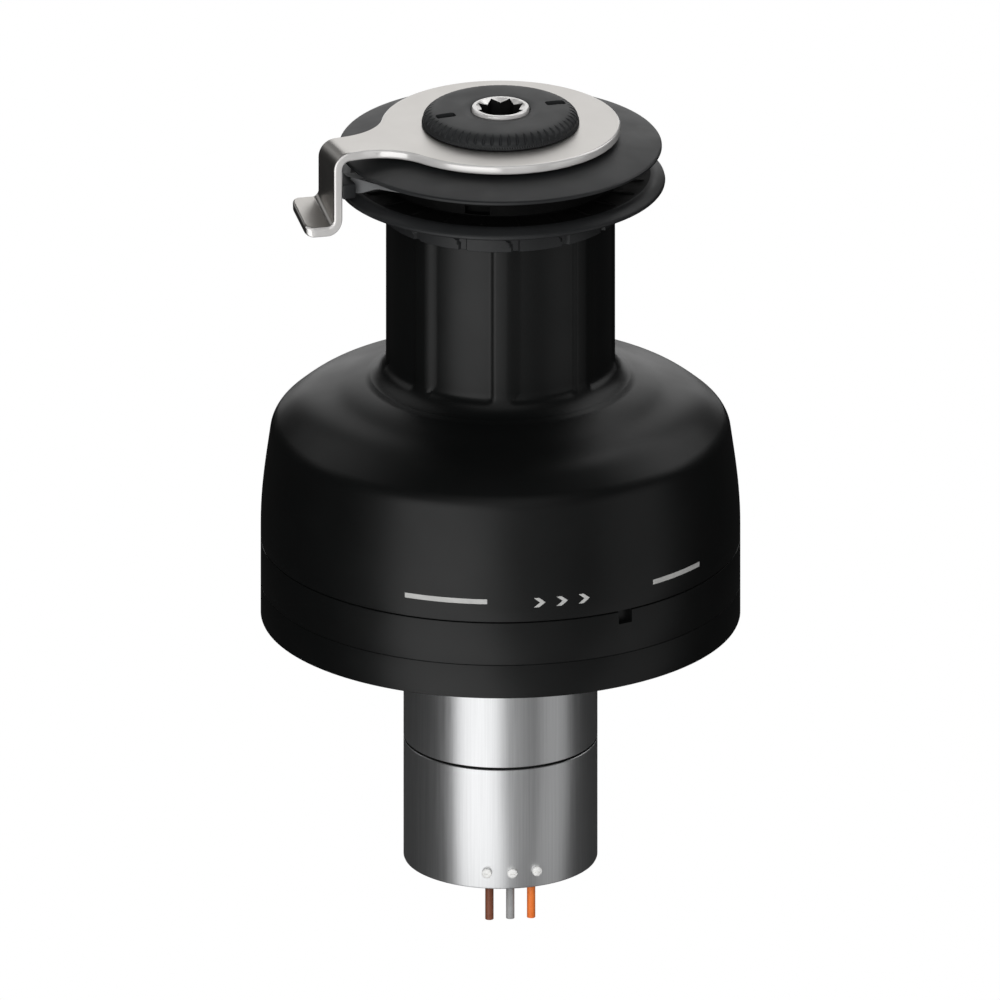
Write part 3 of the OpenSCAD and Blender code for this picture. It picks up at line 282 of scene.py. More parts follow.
def mottled(tree, place, low, high, size, detail=2):
    # a grey value that wanders between two limits, over patches of a size in millimetres
    noise = addNode(tree, "ShaderNodeTexNoise", {"Scale": 1000 / size, "Detail": detail}, {"Vector": place})
    return spread(tree, noise.outputs["Fac"], low, high)


def twoTone(tree, factor, first, second):
    mix = addNode(tree, "ShaderNodeMix", {"data_type": "RGBA", 6: hexColour(first), 7: hexColour(second)},
                  {0: factor})
    return mix.outputs[2]


def bumpFrom(tree, height, strength, distance):
    return addNode(tree, "ShaderNodeBump", {"Strength": strength, "Distance": mm(distance)},
                   {"Height": height}).outputs["Normal"]


def grainy(name, dark, light, metallic, rough, grain, bump=0.1, patch=30.0, **extra):
    # a blasted, cast or moulded skin: colour and gloss wander over patches, fine grain in the bump
    material, tree, place = startMaterial(name)
    wander = mottled(tree, place, 0, 1, patch, 3)
    gloss = mottled(tree, place, rough[0], rough[1], patch * 0.6, 3)
    noise = addNode(tree, "ShaderNodeTexNoise", {"Scale": 1000 / grain, "Detail": 1}, {"Vector": place})
    finishMaterial(tree, {"Metallic": metallic, **extra}, {
        "Base Color": twoTone(tree, wander, dark, light), "Roughness": gloss,
        "Normal": bumpFrom(tree, noise.outputs["Fac"], bump, grain * 0.2)})
    return material


def brushed(name, dark, light, rough, line, stretch, strength, metallic=1.0):
    # brushed metal: noise drawn out along the grain, spacing of the lines in millimetres
    material, tree, place = startMaterial(name)
    grainWay = addNode(tree, "ShaderNodeMapping", {"Scale": [1000 / (line * s) for s in stretch]},
                       {"Vector": place})
    noise = addNode(tree, "ShaderNodeTexNoise", {"Scale": 1.0, "Detail": 2}, {"Vector": grainWay.outputs[0]})
    streak = spread(tree, noise.outputs["Fac"], 0, 1)
    gloss = spread(tree, noise.outputs["Fac"], *rough)
    finishMaterial(tree, {"Metallic": metallic}, {
        "Base Color": twoTone(tree, streak, dark, light), "Roughness": gloss,
        "Normal": bumpFrom(tree, noise.outputs["Fac"], strength, line * 0.1)})
    return material


# Hard anodised aluminium casting, bead blasted: near black, soft broad highlights, grain of about 0.4 mm
anodised = grainy("blackAnodisedAluminium", "080909", "0c0d0d", 0.0, (0.35, 0.40), 0.5, 0.06, 45,
                  **{"Specular IOR Level": 0.46})
# Glass filled nylon, moulded: dark grey and a little paler than the anodised drum, fine moulded grain
composite = grainy("glassFilledNylon", "1f2021", "272829", 0.0, (0.42, 0.5), 0.6, 0.12, 30)
# The same nylon on the cap, which is the palest of the black pieces
capNylon = grainy("greyGlassFilledNylon", "262728", "2e2f30", 0.0, (0.45, 0.52), 0.6, 0.12, 25)
# Painted shade: the gripping faces inside the groove and under the upper jaw, the same nylon painted near
# black for the shade that falls there
paintedShadeNylon = grainy("nylonPaintedShade", "070707", "0d0d0d", 0.0, (0.6, 0.7), 0.6, 0.12, 12,
                   **{"Specular IOR Level": 0.3})
# Grey acetal of the feeder's tongue, smooth and slightly waxy
greyAcetal = grainy("greyAcetal", "6a6b6c", "767778", 0.0, (0.38, 0.46), 0.8, 0.06, 12)
# Stainless plate, its broad faces satin ground: warm light grey, soft reflections
stainless = grainy("satinStainlessSteel", "d2cfcb", "dcd9d5", 1.0, (0.31, 0.36), 3.0, 0.02, 40)
# Its rounded edges and the socket's rim: buffed smoother, with clearer reflections, and a near white, half
# matte base that paints a bright highlight on them under the front lamp
highlightStainless = grainy("stainlessPaintedHighlight", "fbf9f7", "fffdfb", 0.45, (0.16, 0.20), 3.0, 0.02, 40)
# Extruded aluminium can, brushed along its length: fine upright streaks about 0.9 mm apart
canAluminium = brushed("brushedAluminium", "ecedee", "f7f8f9", (0.32, 0.36), 0.9, (1, 1, 60), 0.03, 0.97)
# Zinc plated fastener steel: bright, slightly uneven
fastenerSteel = grainy("zincPlatedSteel", "a9abad", "c2c3c5", 1.0, (0.26, 0.34), 0.8, 0.1, 6)
# Case hardened gear steel, ground: mid grey with a faint oil sheen
gearSteel = grainy("groundGearSteel", "6f7276", "8a8d91", 1.0, (0.24, 0.34), 0.8, 0.12, 12)
# Cast aluminium of the stem and end plates, machined and dull
castAluminium = grainy("machinedCastAluminium", "8d9093", "a4a7aa", 1.0, (0.36, 0.46), 1.0, 0.15, 18)
# Tin bronze bushes
bronze = grainy("tinBronze", "94703e", "b08a52", 1.0, (0.28, 0.38), 0.8, 0.1, 10)
# Enamelled copper windings, drawn as coarse as 1 mm wire
copper = brushed("enamelledCopper", "8c4a20", "c26c33", (0.25, 0.4), 1.0, (1, 1, 8), 0.5)
# Nitrile rubber seals
rubber = grainy("nitrileRubber", "161616", "1f1f1f", 0.0, (0.6, 0.75), 0.7, 0.15, 10)
# Glass epoxy board with its green solder mask
boardEpoxy = grainy("glassEpoxyBoard", "1f5233", "2c6a44", 0.0, (0.3, 0.42), 1.5, 0.1, 8)
# Shrunk sleeve of the capacitors
capacitorSleeve = grainy("capacitorSleeve", "26344d", "30415f", 0.0, (0.3, 0.4), 1.2, 0.08, 10)
# Painted shade: the socket's bore, broached steel painted dark and dull for the shade inside the socket
socketShadeSteel = grainy("broachedSteelPaintedShade", "1b1b1b", "262626", 0.6, (0.5, 0.6), 0.8, 0.1, 6)
# White nylon screws: slightly waxy
whiteNylon = grainy("whiteNylon", "f2f2f0", "fafaf8", 0.0, (0.38, 0.48), 0.6, 0.08, 5)
# Screen printed ink on the skirt
printInk = grainy("screenPrintedInk", "b2b2b0", "c0c0be", 0.0, (0.5, 0.6), 0.6, 0.06, 8)
# Polyvinyl chloride insulation of the three leads
leadBrown = grainy("brownVinylInsulation", "70402b", "824d38", 0.0, (0.36, 0.46), 1.2, 0.08, 9)
leadGrey = grainy("greyVinylInsulation", "919191", "a2a2a2", 0.0, (0.36, 0.46), 1.2, 0.08, 9)
leadOrange = grainy("orangeVinylInsulation", "ec7428", "f9883d", 0.0, (0.36, 0.46), 1.2, 0.08, 9)
print("materials made")


def dress(piece, material, body, slot, *nodes):
    piece.data.materials.clear()
    piece.data.materials.append(material)
    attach(piece, body)
    if nodes:
        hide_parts(*nodes)


def dressPart(piece, material, test):
    # a second finish on the faces whose centre, in millimetres, and normal pass the test
    piece.data.materials.append(material)
    for face in piece.data.polygons:
        if test(face.center * 1000, face.normal):
            face.material_index = 1


# Camera, at the photograph's angle: 0.5 mm to a pixel, 21.2 degrees up

camera = {"tilt": 21.2, "width": 500.0, "aimX": -0.25, "aimZ": 60.1, "away": 2000.0}
tilt = math.radians(camera["tilt"])
bpy.ops.object.select_all(action="DESELECT")
bpy.ops.object.camera_add(
    location=(mm(camera["aimX"]), -mm(camera["away"]) * math.cos(tilt),
              mm(camera["aimZ"]) + mm(camera["away"]) * math.sin(tilt)),
    rotation=(math.pi / 2 - tilt, 0, 0))
view = bpy.context.active_object
view.data.type = "ORTHO"
view.data.ortho_scale = mm(camera["width"])
view.data.clip_end = 20
bpy.context.scene.camera = view

# Power leads, three straight stubs below the can

leads = {"diameter": 4.2, "heights": (-116.5, -124.0, -132.0, -140.0, -148.5),
         "places": {"brown": (-5.554, -40.982), "grey": (4.875, -39.702), "orange": (15.303, -38.422)}}
for colour, material in (("brown", leadBrown), ("grey", leadGrey), ("orange", leadOrange)):
    x, y = leads["places"][colour]
    line = bpy.data.curves.new(f"lead{colour.title()}", "CURVE")
    line.dimensions = "3D"
    line.bevel_depth = mm(leads["diameter"] / 2)
    line.bevel_resolution = 7
    line.use_fill_caps = True
    spline = line.splines.new("POLY")
    spline.points.add(len(leads["heights"]) - 1)
    for point, z in zip(spline.points, leads["heights"]):
        point.co = (mm(x), mm(y), mm(z), 1)
    lead = bpy.data.objects.new(line.name, line)
    bpy.context.collection.objects.link(lead)
    dress(lead, material, "root", f"lead_{colour}", f"lead_{colour}")
print("camera and leads placed")

# Drum: ribbed barrel and domed skirt in one casting

drum = {"radius": 119.94, "bottom": 40.8, "edge": 0.6, "barrel": 57.3, "top": 216.0, "wall": 6.0,
        "sideLow": 48.0, "sidePull": 66.0, "sideLean": (117.7, 80.1), "sideTop": (115.17, 98.1),
        "shoulder": (102.3, 96.3), "shoulderArc": 13.0, "dome": (37.4, 24.2), "domeArc": 110.0,
        "sinkFrom": 104.0, "sinkOver": 24.0, "sink": 3.4, "footZ": 139.0, "footArc": 12.0,
        "topHole": 31.0, "topPlate": 9.9, "bore": 46.0, "boreEnd": 126.0,
        "seat": 112.94, "gear": 105.94, "gearLow": 57.6, "gearHigh": 64.6, "seatTop": 65.0,
        "ribs": 8, "ribAt": 270.3, "ribHalf": 3.1, "steepFlank": 2.6, "longFlank": 7.0, "endFlank": 3.4,
        "depth": 1.3, "soften": 0.05, "pocketCorner": 4.5, "pocketEnd": 29.0, "pocketLow": 120.0,
        "pocketBand": (50.0, 66.0)}
shoulder, dome = drum["shoulder"], drum["dome"]
foot = (drum["barrel"] + drum["footArc"], drum["footZ"])
sideEnds = [(drum["radius"], drum["sideLow"]), (drum["radius"], drum["sidePull"]),
            drum["sideLean"], drum["sideTop"]]
sideCurve = []
for i in range(12):
    t = i / 12
    s = 1 - t
    weights = (s ** 3, 3 * s * s * t, 3 * s * t * t, t ** 3)
    sideCurve.append(tuple(sum(w * e[k] for w, e in zip(weights, sideEnds)) for k in (0, 1)))
# the dome sinks a little on its way to the barrel
domeCurve = [(r, z - drum["sink"] * blendIn(drum["sinkFrom"] - r, 0, drum["sinkOver"]))
             for r, z in arc(dome, drum["domeArc"], 42, 15.3, 24)[1:]]
outside = (
    [(drum["radius"] - drum["edge"], drum["bottom"]),
     (drum["radius"] - drum["edge"] / 4, drum["bottom"] + drum["edge"] / 3),
     (drum["radius"], drum["bottom"] + drum["edge"])]
    + sideCurve + arc(shoulder, drum["shoulderArc"], 82, 42, 12) + domeCurve
    + arc(foot, drum["footArc"], 195.3, 270, 22)[1:])
barrelRows = [(drum["barrel"], drum["footZ"] + h) for h in (1, 2, 3, 5, *range(8, 75, 6))]
under = drum["top"] - drum["topPlate"]
inside = (
    [(drum["barrel"], drum["top"]), (drum["topHole"], drum["top"]), (drum["topHole"], under),
     (drum["bore"], under), (drum["bore"], drum["boreEnd"])]
    + arc(dome, drum["domeArc"] - drum["wall"], 7, 42, 8)
    + arc(shoulder, drum["shoulderArc"] - drum["wall"], 42, 86.5, 5)
    + [(drum["seat"], drum["seatTop"]), (drum["seat"], drum["gearHigh"]), (drum["gear"], drum["gearHigh"]),
       (drum["gear"], drum["gearLow"]), (drum["seat"], drum["gearLow"]), (drum["seat"], drum["bottom"])])
drumCasting = turned("drumCasting", outside + barrelRows + inside, 512)


def pocketDepth(x, y, z):
    # how deep the hollow between two ribs is at this bearing and height
    radius = math.hypot(x, y)
    low, high = drum["pocketBand"]
    if z < drum["pocketLow"] or not low <= radius <= high:
        return 0.0
    pitch = 360 / drum["ribs"]
    across = (math.degrees(math.atan2(y, x)) - drum["ribAt"] + pitch / 2) % pitch - pitch / 2
    fromRib = math.radians(abs(across)) * drum["barrel"] - drum["ribHalf"]
    if z < drum["footZ"]:
        along = math.acos(min(1, max(-1, (foot[0] - radius) / drum["footArc"]))) * drum["footArc"]
    else:
        along = drum["footZ"] - z
    fromEnd = math.radians(drum["pocketEnd"]) * drum["footArc"] - along
    fromCorner = drum["pocketCorner"] - fromRib, drum["pocketCorner"] - fromEnd
    if min(fromCorner) > 0:
        inner = drum["pocketCorner"] - math.hypot(*fromCorner)
    else:
        inner = min(fromRib, fromEnd)
    if fromRib < fromEnd:
        run = drum["steepFlank"] if across < 0 else drum["longFlank"]
    else:
        run = drum["endFlank"]
    share = min(1, max(0, inner / run))
    return drum["depth"] * (share - drum["soften"] * math.sin(full * share))


def sinkPockets(x, y, z):
    radius = math.hypot(x, y)
    depth = pocketDepth(x, y, z)
    if depth <= 0:
        return x, y, z
    lean = math.asin(min(1, max(0, (drum["footZ"] - z) / drum["footArc"])))
    inward = (radius - depth * math.cos(lean)) / radius
    return x * inward, y * inward, z - depth * math.sin(lean)


moveVerts(drumCasting, sinkPockets)
smooth(drumCasting, 30)
dress(drumCasting, anodised, "drum", "black_anodised", "drum_skirt", "drum_barrel")
print("drum modelled")

# Base ring and gear housing ring

base = {"radius": 119.94, "height": 17.8, "wall": 8.0, "floor": 8.0, "edge": 0.5, "bore": 12.0,
        "bolts": 6, "boltAt": 100.0, "boltHole": 4.25,
        "stemBolts": 4, "stemBoltAt": 35.0, "stemBoltHole": 2.6}
rim, floorTop = base["radius"], base["floor"]
inner = rim - base["wall"]


def rimSide(low, high):
    # the outer side of a ring, with its two small round edges
    edge, part = base["edge"], 0.3 * base["edge"]
    return [(rim - edge, low), (rim - part, low + part), (rim, low + edge),
            (rim, high - edge), (rim - part, high - part), (rim - edge, high)]


baseRing = turned("baseRing", [
    (base["bore"], 0), *rimSide(0, base["height"]), (inner, base["height"]), (inner, floorTop),
    (base["bore"], floorTop)], finely)
deckHoles = [bearing(360 / base["bolts"] * k, base["boltAt"], floorTop / 2) for k in range(base["bolts"])]
drill(baseRing, base["boltHole"], deckHoles, 20)
stemHoles = [bearing(45 + 360 / base["stemBolts"] * k, base["stemBoltAt"], floorTop / 2)
             for k in range(base["stemBolts"])]
drill(baseRing, base["stemBoltHole"], stemHoles, 20, sides=24)
cleanUp(baseRing)
smooth(baseRing)
dress(baseRing, anodised, "root", "black_anodised", "base_plate")

housing = {"top": 40.4, "plate": 7.4, "bore": 20.04, "collar": 26.0, "collarDeep": 4.0,
           "shaftAt": 57.0, "shaftHole": 8.04,
           "drainAt": 301.4, "drainWidth": 7.7, "drainHeight": 6.6, "drainDeep": 8.0}
roof, ceiling = housing["top"], housing["top"] - housing["plate"]
collarEnd = ceiling - housing["collarDeep"]
housingRing = turned("housingRing", [
    (housing["bore"], collarEnd), (housing["collar"], collarEnd), (housing["collar"], ceiling),
    (inner, ceiling), (inner, base["height"]), *rimSide(base["height"], roof),
    (housing["bore"], roof)], finely)
# the drain's cutter stands 2 mm past the ring's top
cutAway(housingRing, startBlock(
    "drainCutter", bearing(housing["drainAt"], rim, roof - housing["drainHeight"] / 2 + 1),
    (housing["drainDeep"], housing["drainWidth"], housing["drainHeight"] + 2), housing["drainAt"]))
drill(housingRing, housing["shaftHole"], [(way * housing["shaftAt"], 0, ceiling) for way in (1, -1)], 20)
cleanUp(housingRing)
smooth(housingRing)
dress(housingRing, anodised, "root", "black_anodised", "gear_housing")

# Printed marks on the skirt: two plain bars and three small chevrons, lying on the paint

marks = {"radius": 119.95, "bars": ((246.5, 266.8, 50.6, 2.6), (309.5, 326.0, 50.6, 2.6)),
         "chevrons": (278.0, 283.5, 289.0), "chevronZ": 51.0, "chevronSize": 5.0,
         "chevronStroke": 1.3, "chevronLean": 1.5}


def printedStrip(name, corners, columns):
    # a plate cut to four corners, given as bearing and height, and laid round the skirt
    piece = startPiece(name, size=mm(1), location=(0, 0, 0))
    editMode("VERT")
    bpy.ops.mesh.select_all(action="SELECT")
    bpy.ops.mesh.subdivide(number_cuts=columns)
    objectMode()
    (a, az), (b, bz), (c, cz), (d, dz) = corners

    def lay(px, py, _):
        s, t = px + 0.5, py + 0.5
        at = (a * (1 - s) + b * s) * (1 - t) + (d * (1 - s) + c * s) * t
        z = (az * (1 - s) + bz * s) * (1 - t) + (dz * (1 - s) + cz * s) * t
        return bearing(at, marks["radius"], z)

    moveVerts(piece, lay)
    return piece


strips = []
for start, end, z, height in marks["bars"]:
    strips.append(printedStrip("bar", ((start, z), (end, z), (end, z + height), (start, z + height)), 24))
middle, reach = marks["chevronZ"], marks["chevronSize"] / 2
for at in marks["chevrons"]:
    stroke, lean = marks["chevronStroke"], marks["chevronLean"]
    for z in (middle - reach, middle + reach):
        arm = ((at, z), (at + stroke, z), (at + stroke + lean, middle), (at + lean, middle))
        strips.append(printedStrip("chevron", arm if z < middle else arm[::-1], 5))
skirtMarks = joinPieces("skirtMarks", strips)
cleanUp(skirtMarks, 0.001)
dress(skirtMarks, printInk, "drum", "black_anodised")
print("base and marks modelled")

# Motor can in two sections with a groove between them

can = {"radius": 48.5, "wall": 3.0, "joint": -65.5, "bottom": -130.0, "plate": 4.0, "grooveHalf": 0.55,
       "grooveDeep": 1.5, "edge": 0.3, "footEdge": 1.0, "leadHole": 3.6}
side, joint, bottom, edge = can["radius"], can["joint"], can["bottom"], can["edge"]
bore, grooveFloor = side - can["wall"], side - can["grooveDeep"]
above, below = joint + can["grooveHalf"], joint - can["grooveHalf"]
canTop = turned("canTop", [
    (bore, 0), (side, 0), (side, above + edge), (side - edge, above), (grooveFloor, above),
    (grooveFloor, joint), (bore, joint)], finely)
smooth(canTop)
dress(canTop, canAluminium, "root", "can_aluminium", "can_upper")
canBottom = turned("canBottom", [
    (0, bottom), (side - can["footEdge"], bottom), (side - edge, bottom + edge),
    (side, bottom + can["footEdge"]), (side, below - edge), (side - edge, below), (grooveFloor, below),
    (grooveFloor, joint), (bore, joint), (bore, bottom + can["plate"]), (0, bottom + can["plate"])], finely)
leadHoles = [(*place, bottom + can["plate"] / 2) for place in leads["places"].values()]
drill(canBottom, can["leadHole"], leadHoles, 12)
cleanUp(canBottom)
smooth(canBottom)
dress(canBottom, canAluminium, "root", "can_aluminium", "can_lower")
for piece in (canTop, canBottom):
    # painted shade: the groove's faces get the dark rubber, which darkens the groove
    dressPart(piece, rubber, lambda p, n: abs(p.z - joint) < can["grooveHalf"] + 0.05 and
              math.hypot(p.x, p.y) < side - edge - 0.1)

# Terminal screws: domed heads with a slot

screws = {"bearings": (262.0, 277.0, 292.0), "z": -121.3, "slot": (0.6, 6.0, 1.4), "slotZ": 1.9,
          "head": ((0, 0), (2.5, 0), (2.5, 0.45), (2.5, 1.1), (2.3, 1.4), (1.7, 1.7), (0.9, 1.88), (0, 1.92))}
heads = []
for at in screws["bearings"]:
    head = turned("screwHead", screws["head"], 40)
    cutAway(head, startBlock("slotCut", (0, 0, screws["slotZ"]), screws["slot"]))
    moveVerts(head, lambda x, y, z: (side + z, y, screws["z"] + x))      # lies down, facing outwards
    turnRound(head, at)
    heads.append(head)
terminalScrews = joinPieces("terminalScrews", heads)
cleanUp(terminalScrews)
smooth(terminalScrews, 40)
dress(terminalScrews, whiteNylon, "root", "nylon_white", "lead_screws")
print("can modelled")

# Crown ring: slanted notches under the lower jaw

crown = {"radius": 60.0, "bottom": 216.0, "height": 10.0, "edge": 0.3, "bore": 54.1, "wall": 1.4,
         "floor": 1.2, "notches": 14, "stepsPerNotch": 30, "edgeAt": 278.9, "notchDepth": 1.6,
         "notchLow": 3.7, "notchHigh": 10.8, "notchBend": 2.2, "notchSlant": 0.8}
low, high = crown["bottom"], crown["bottom"] + crown["height"]
lip = crown["radius"] - crown["edge"]
crownRows = [(crown["radius"], low + crown["edge"] + i * (crown["height"] - 1.0) / 12) for i in range(13)]
crownRing = turned("crownRing", [
    (crown["bore"], low), (lip, low), *crownRows, (lip, high), (lip - crown["wall"], high),
    (lip - crown["wall"], low + crown["floor"]), (crown["bore"], low + crown["floor"])],
    crown["notches"] * crown["stepsPerNotch"])


def notchCrown(x, y, z):
    # each notch has an upright edge and a slanted one, and widens towards the top
    radius = math.hypot(x, y)
    if radius < crown["radius"] - 0.5:
        return x, y, z
    pitch = 360 / crown["notches"]
    behind = math.radians((crown["edgeAt"] - math.degrees(math.atan2(y, x))) % pitch) * radius
    rise = (z - crown["bottom"]) / crown["height"]
    wide = crown["notchLow"] + (crown["notchHigh"] - crown["notchLow"]) * rise ** crown["notchBend"]
    keep = 1 - crown["notchDepth"] * blendIn(wide - behind, 0, crown["notchSlant"]) / radius
    return x * keep, y * keep, z


moveVerts(crownRing, notchCrown)
smooth(crownRing, 28)
dress(crownRing, composite, "drum", "black_composite", "crown_ring")

# Lower jaw: dished disc, hub with windows, gripping ribs

lower = {"windows": 4, "windowAt": 258.5, "windowRadius": 56.0, "windowZ": 237.4, "window": (9.0, 12.75, 4.4),
         "ribReach": (59.4, 72.5), "ribZ": 234.35, "ribTilt": 2.9, "ribAt": 7.5,
         "gripZ": 234.0, "gripRadius": 74.6, "profile": (
             (54, 222.5), (58, 222.5), (58, 229.5), (70, 229.5), (78.5, 230.2), (81.0, 230.6),
             (81.9, 231.0), (82.3, 231.5), (82.42, 232.1), (82.2, 232.9), (81.5, 233.6), (80.4, 234.4),
             (79.2, 235.1), (78, 235.6), (76.6, 235.8), (75, 235.7), (70, 235.0), (60, 234.5),
             (58.8, 234.6), (58.2, 234.9), (58, 235.3), (58, 241.4), (57.4, 242), (54, 242))}
lowerJaw = turned("lowerJaw", lower["profile"], finely)
for k in range(lower["windows"]):
    at = lower["windowAt"] + 360 / lower["windows"] * k
    place = bearing(at, lower["windowRadius"], lower["windowZ"])
    cutAway(lowerJaw, startBlock("window", place, lower["window"], at))
cleanUp(lowerJaw)
smooth(lowerJaw, 35)

ribs = {"count": 24, "width": 1.2, "height": 1.4, "edge": 0.35}


def gripRibs(jaw):
    # low bars with rounded backs, laid along the jaw's slope
    start, end = jaw["ribReach"]
    rib = startBlock("gripRib", ((start + end) / 2, 0, 0), (end - start, ribs["width"], ribs["height"]))
    breakEdges(rib, ribs["edge"], 2)
    slope = math.tan(math.radians(jaw["ribTilt"]))
    moveVerts(rib, lambda x, y, h: (x, y, jaw["ribZ"] + h + (x - start) * slope))
    return copiesAround(rib, ribs["count"], jaw["ribAt"])


lowerJaw = joinPieces("lowerJaw", [lowerJaw] + gripRibs(lower))
smooth(lowerJaw, 35)
dress(lowerJaw, composite, "lower_jaw", "black_composite", "lower_jaw")
# painted shade: the lower jaw's faces inside the groove get the near black nylon
dressPart(lowerJaw, paintedShadeNylon,
          lambda p, n: p.z > lower["gripZ"] and math.hypot(p.x, p.y) < lower["gripRadius"])

# Upper jaw: coned disc above the groove

upper = {"ribReach": (55.5, 71.0), "ribZ": 246.3, "ribTilt": 5.9, "ribAt": 0.0,
         "gripZ": 249.2, "gripRadius": 79.5, "profile": (
             (38, 216), (53.6, 216), (53.6, 245.7), (53.9, 246.1), (54.5, 246.3), (79.6, 248.9),
             (80.4, 249.2), (80.72, 249.8), (80.7, 250.5), (80.3, 251.0), (79.6, 251.25), (60, 255.4),
             (48.6, 255.5), (48.6, 221), (38, 221))}
upperJaw = turned("upperJaw", upper["profile"], finely)
upperJaw = joinPieces("upperJaw", [upperJaw] + gripRibs(upper))
smooth(upperJaw, 35)
dress(upperJaw, composite, "drum", "black_composite", "jaw_hub", "upper_jaw")
# painted shade: the upper jaw's underside faces inside the groove get the near black nylon
dressPart(upperJaw, paintedShadeNylon,
          lambda p, n: p.z < upper["gripZ"] and math.hypot(p.x, p.y) < upper["gripRadius"])

# Jaw springs: a smoothed copy of the solid's own mesh; the real coils close up as the lower jaw goes down

jawSprings = frame["nodes"]["jaw_springs"].copy()
jawSprings.data = jawSprings.data.copy()
jawSprings.parent = None
jawSprings.name = jawSprings.data.name = "jawSprings"
bpy.context.collection.objects.link(jawSprings)
cleanUp(jawSprings)
smooth(jawSprings, 40)
dress(jawSprings, fastenerSteel, "drum", "fastener_steel", "jaw_springs")
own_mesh(jawSprings)
print("jaws and springs modelled")

# Line guide: ring plate, arm, leg and hook, bent from one plate

guide = {"bearing": 201.0, "z": 257.4, "thick": 4.8, "ring": 60.0, "bore": 22.1, "armWidth": 23.0,
         "neck": 30.0, "leg": 93.5, "topBend": 4.0, "hookBend": 3.0, "hookZ": 223.6, "hookTilt": 22.0,
         "slope": 3.0, "paddle": 12.0, "paddleCorner": 4.5, "edge": 1.35,
         "flatNormal": 0.93, "sideNormal": 0.55}
half = guide["armWidth"] / 2
filletY = half + guide["neck"]
filletX = math.sqrt((guide["ring"] + guide["neck"]) ** 2 - filletY ** 2)
meetAt = math.degrees(math.atan2(filletY, filletX))
bendX = guide["leg"] - guide["thick"] - guide["topBend"]
ringPart = [bearing(meetAt + (360 - 2 * meetAt) * i / 150, guide["ring"]) for i in range(151)]
neckPart = []
for i in range(1, 25):
    turn = math.radians(180 + meetAt + (90 - meetAt) * i / 24)
    neckPart.append((filletX + guide["neck"] * math.cos(turn), filletY + guide["neck"] * math.sin(turn), 0))
lowerNeck = [(x, -y, 0) for x, y, _ in neckPart]
plateLine = ringPart + lowerNeck + [(bendX, -half, 0), (bendX, half, 0)] + neckPart[::-1]
plateLine = [(x, y, guide["z"]) for x, y, _ in plateLine]
linePlate = drawLine("lineGuide", plateLine + [plateLine[0]])
cleanUp(linePlate)
onlySelect(linePlate)
editMode("EDGE")
bpy.ops.mesh.select_all(action="SELECT")
bpy.ops.mesh.edge_face_add()
bpy.ops.mesh.extrude_region_move(TRANSFORM_OT_translate={"value": (0, 0, mm(guide["thick"]))})
bpy.ops.mesh.select_all(action="SELECT")
bpy.ops.mesh.normals_make_consistent(inside=False)
objectMode()

# the arm's end face goes on round the top bend, down the leg, round the hook and out along the paddle
tiltTan = math.tan(math.radians(guide["hookTilt"]))
tiltCos = math.cos(math.radians(guide["hookTilt"]))
hookCentre = (guide["leg"] + guide["hookBend"], guide["hookZ"] + guide["thick"] + guide["hookBend"])
topCentre = (bendX, guide["z"] - guide["topBend"])
# a station holds the inner x and z, the outer x and z, and whether it is skewed with the hook
stations = [(bendX, guide["z"], bendX, guide["z"] + guide["thick"], False)]
for i in range(1, 13):
    t = math.radians(90 * i / 12)
    near, far = guide["topBend"], guide["topBend"] + guide["thick"]
    stations.append((topCentre[0] + near * math.sin(t), topCentre[1] + near * math.cos(t),
                     topCentre[0] + far * math.sin(t), topCentre[1] + far * math.cos(t), False))
turnEnd = math.radians(90 - guide["slope"])
for i in range(13):
    t = turnEnd * i / 12
    near, far = guide["hookBend"], guide["hookBend"] + guide["thick"]
    stations.append((hookCentre[0] - far * math.cos(t), -far * math.sin(t),
                     hookCentre[0] - near * math.cos(t), -near * math.sin(t), True))
hookEnd = stations[-1]
for reach in (guide["paddle"] / 2, guide["paddle"]):
    x, z = reach * math.sin(turnEnd), reach * math.cos(turnEnd)
    stations.append((hookEnd[0] + x, hookEnd[1] + z, hookEnd[2] + x, hookEnd[3] + z, True))


def stationPoint(station, outer, y):
    x, z = (station[2], station[3]) if outer else (station[0], station[1])
    if station[4]:
        z = hookCentre[1] + z / tiltCos - y * tiltTan
    return Vector((mm(x), mm(y), mm(z)))


onlySelect(linePlate)
pickVerts(linePlate, lambda p: abs(p.x - bendX) < 0.01 and abs(abs(p.y) - half) < 0.01)
for last, station in zip(stations, stations[1:]):
    bpy.ops.mesh.select_mode(type="FACE")
    bpy.ops.mesh.extrude_region_move(TRANSFORM_OT_translate={"value": (0, 0, 0)})
    objectMode()
    for vert in linePlate.data.vertices:
        if vert.select:
            y = vert.co.y * 1000
            outer = (vert.co - stationPoint(last, True, y)).length < 1e-6
            vert.co = stationPoint(station, outer, y)
    editMode("FACE")
objectMode()
cleanUp(linePlate, 0.002)

# round the paddle's corners, then break every rim edge of the plate
onlySelect(linePlate)
end = stations[-1]


def paddleCorner(a, b):
    ends = [Vector(stationPoint(end, u, s * half)) * 1000 for u in (0, 1) for s in (-1, 1)]
    near = [min(range(4), key=lambda k: (p - ends[k]).length) for p in (a, b)]
    return (all((p - ends[k]).length < 0.02 for p, k in zip((a, b), near)) and abs(a.y - b.y) < 0.01)


pickEdges(linePlate, paddleCorner)
bpy.ops.mesh.bevel(offset=mm(guide["paddleCorner"]), segments=8, affect="EDGES")
bpy.ops.mesh.select_all(action="DESELECT")
bpy.ops.mesh.edges_select_sharp(sharpness=math.radians(50))
bpy.ops.mesh.bevel(offset=mm(guide["edge"]), segments=5, affect="EDGES")
bpy.ops.mesh.select_all(action="DESELECT")
objectMode()
drill(linePlate, guide["bore"], [(0, 0, guide["z"])], 20, sides=128)
turnRound(linePlate, guide["bearing"])
cleanUp(linePlate, 0.002)
smooth(linePlate, 40, weighted=True)

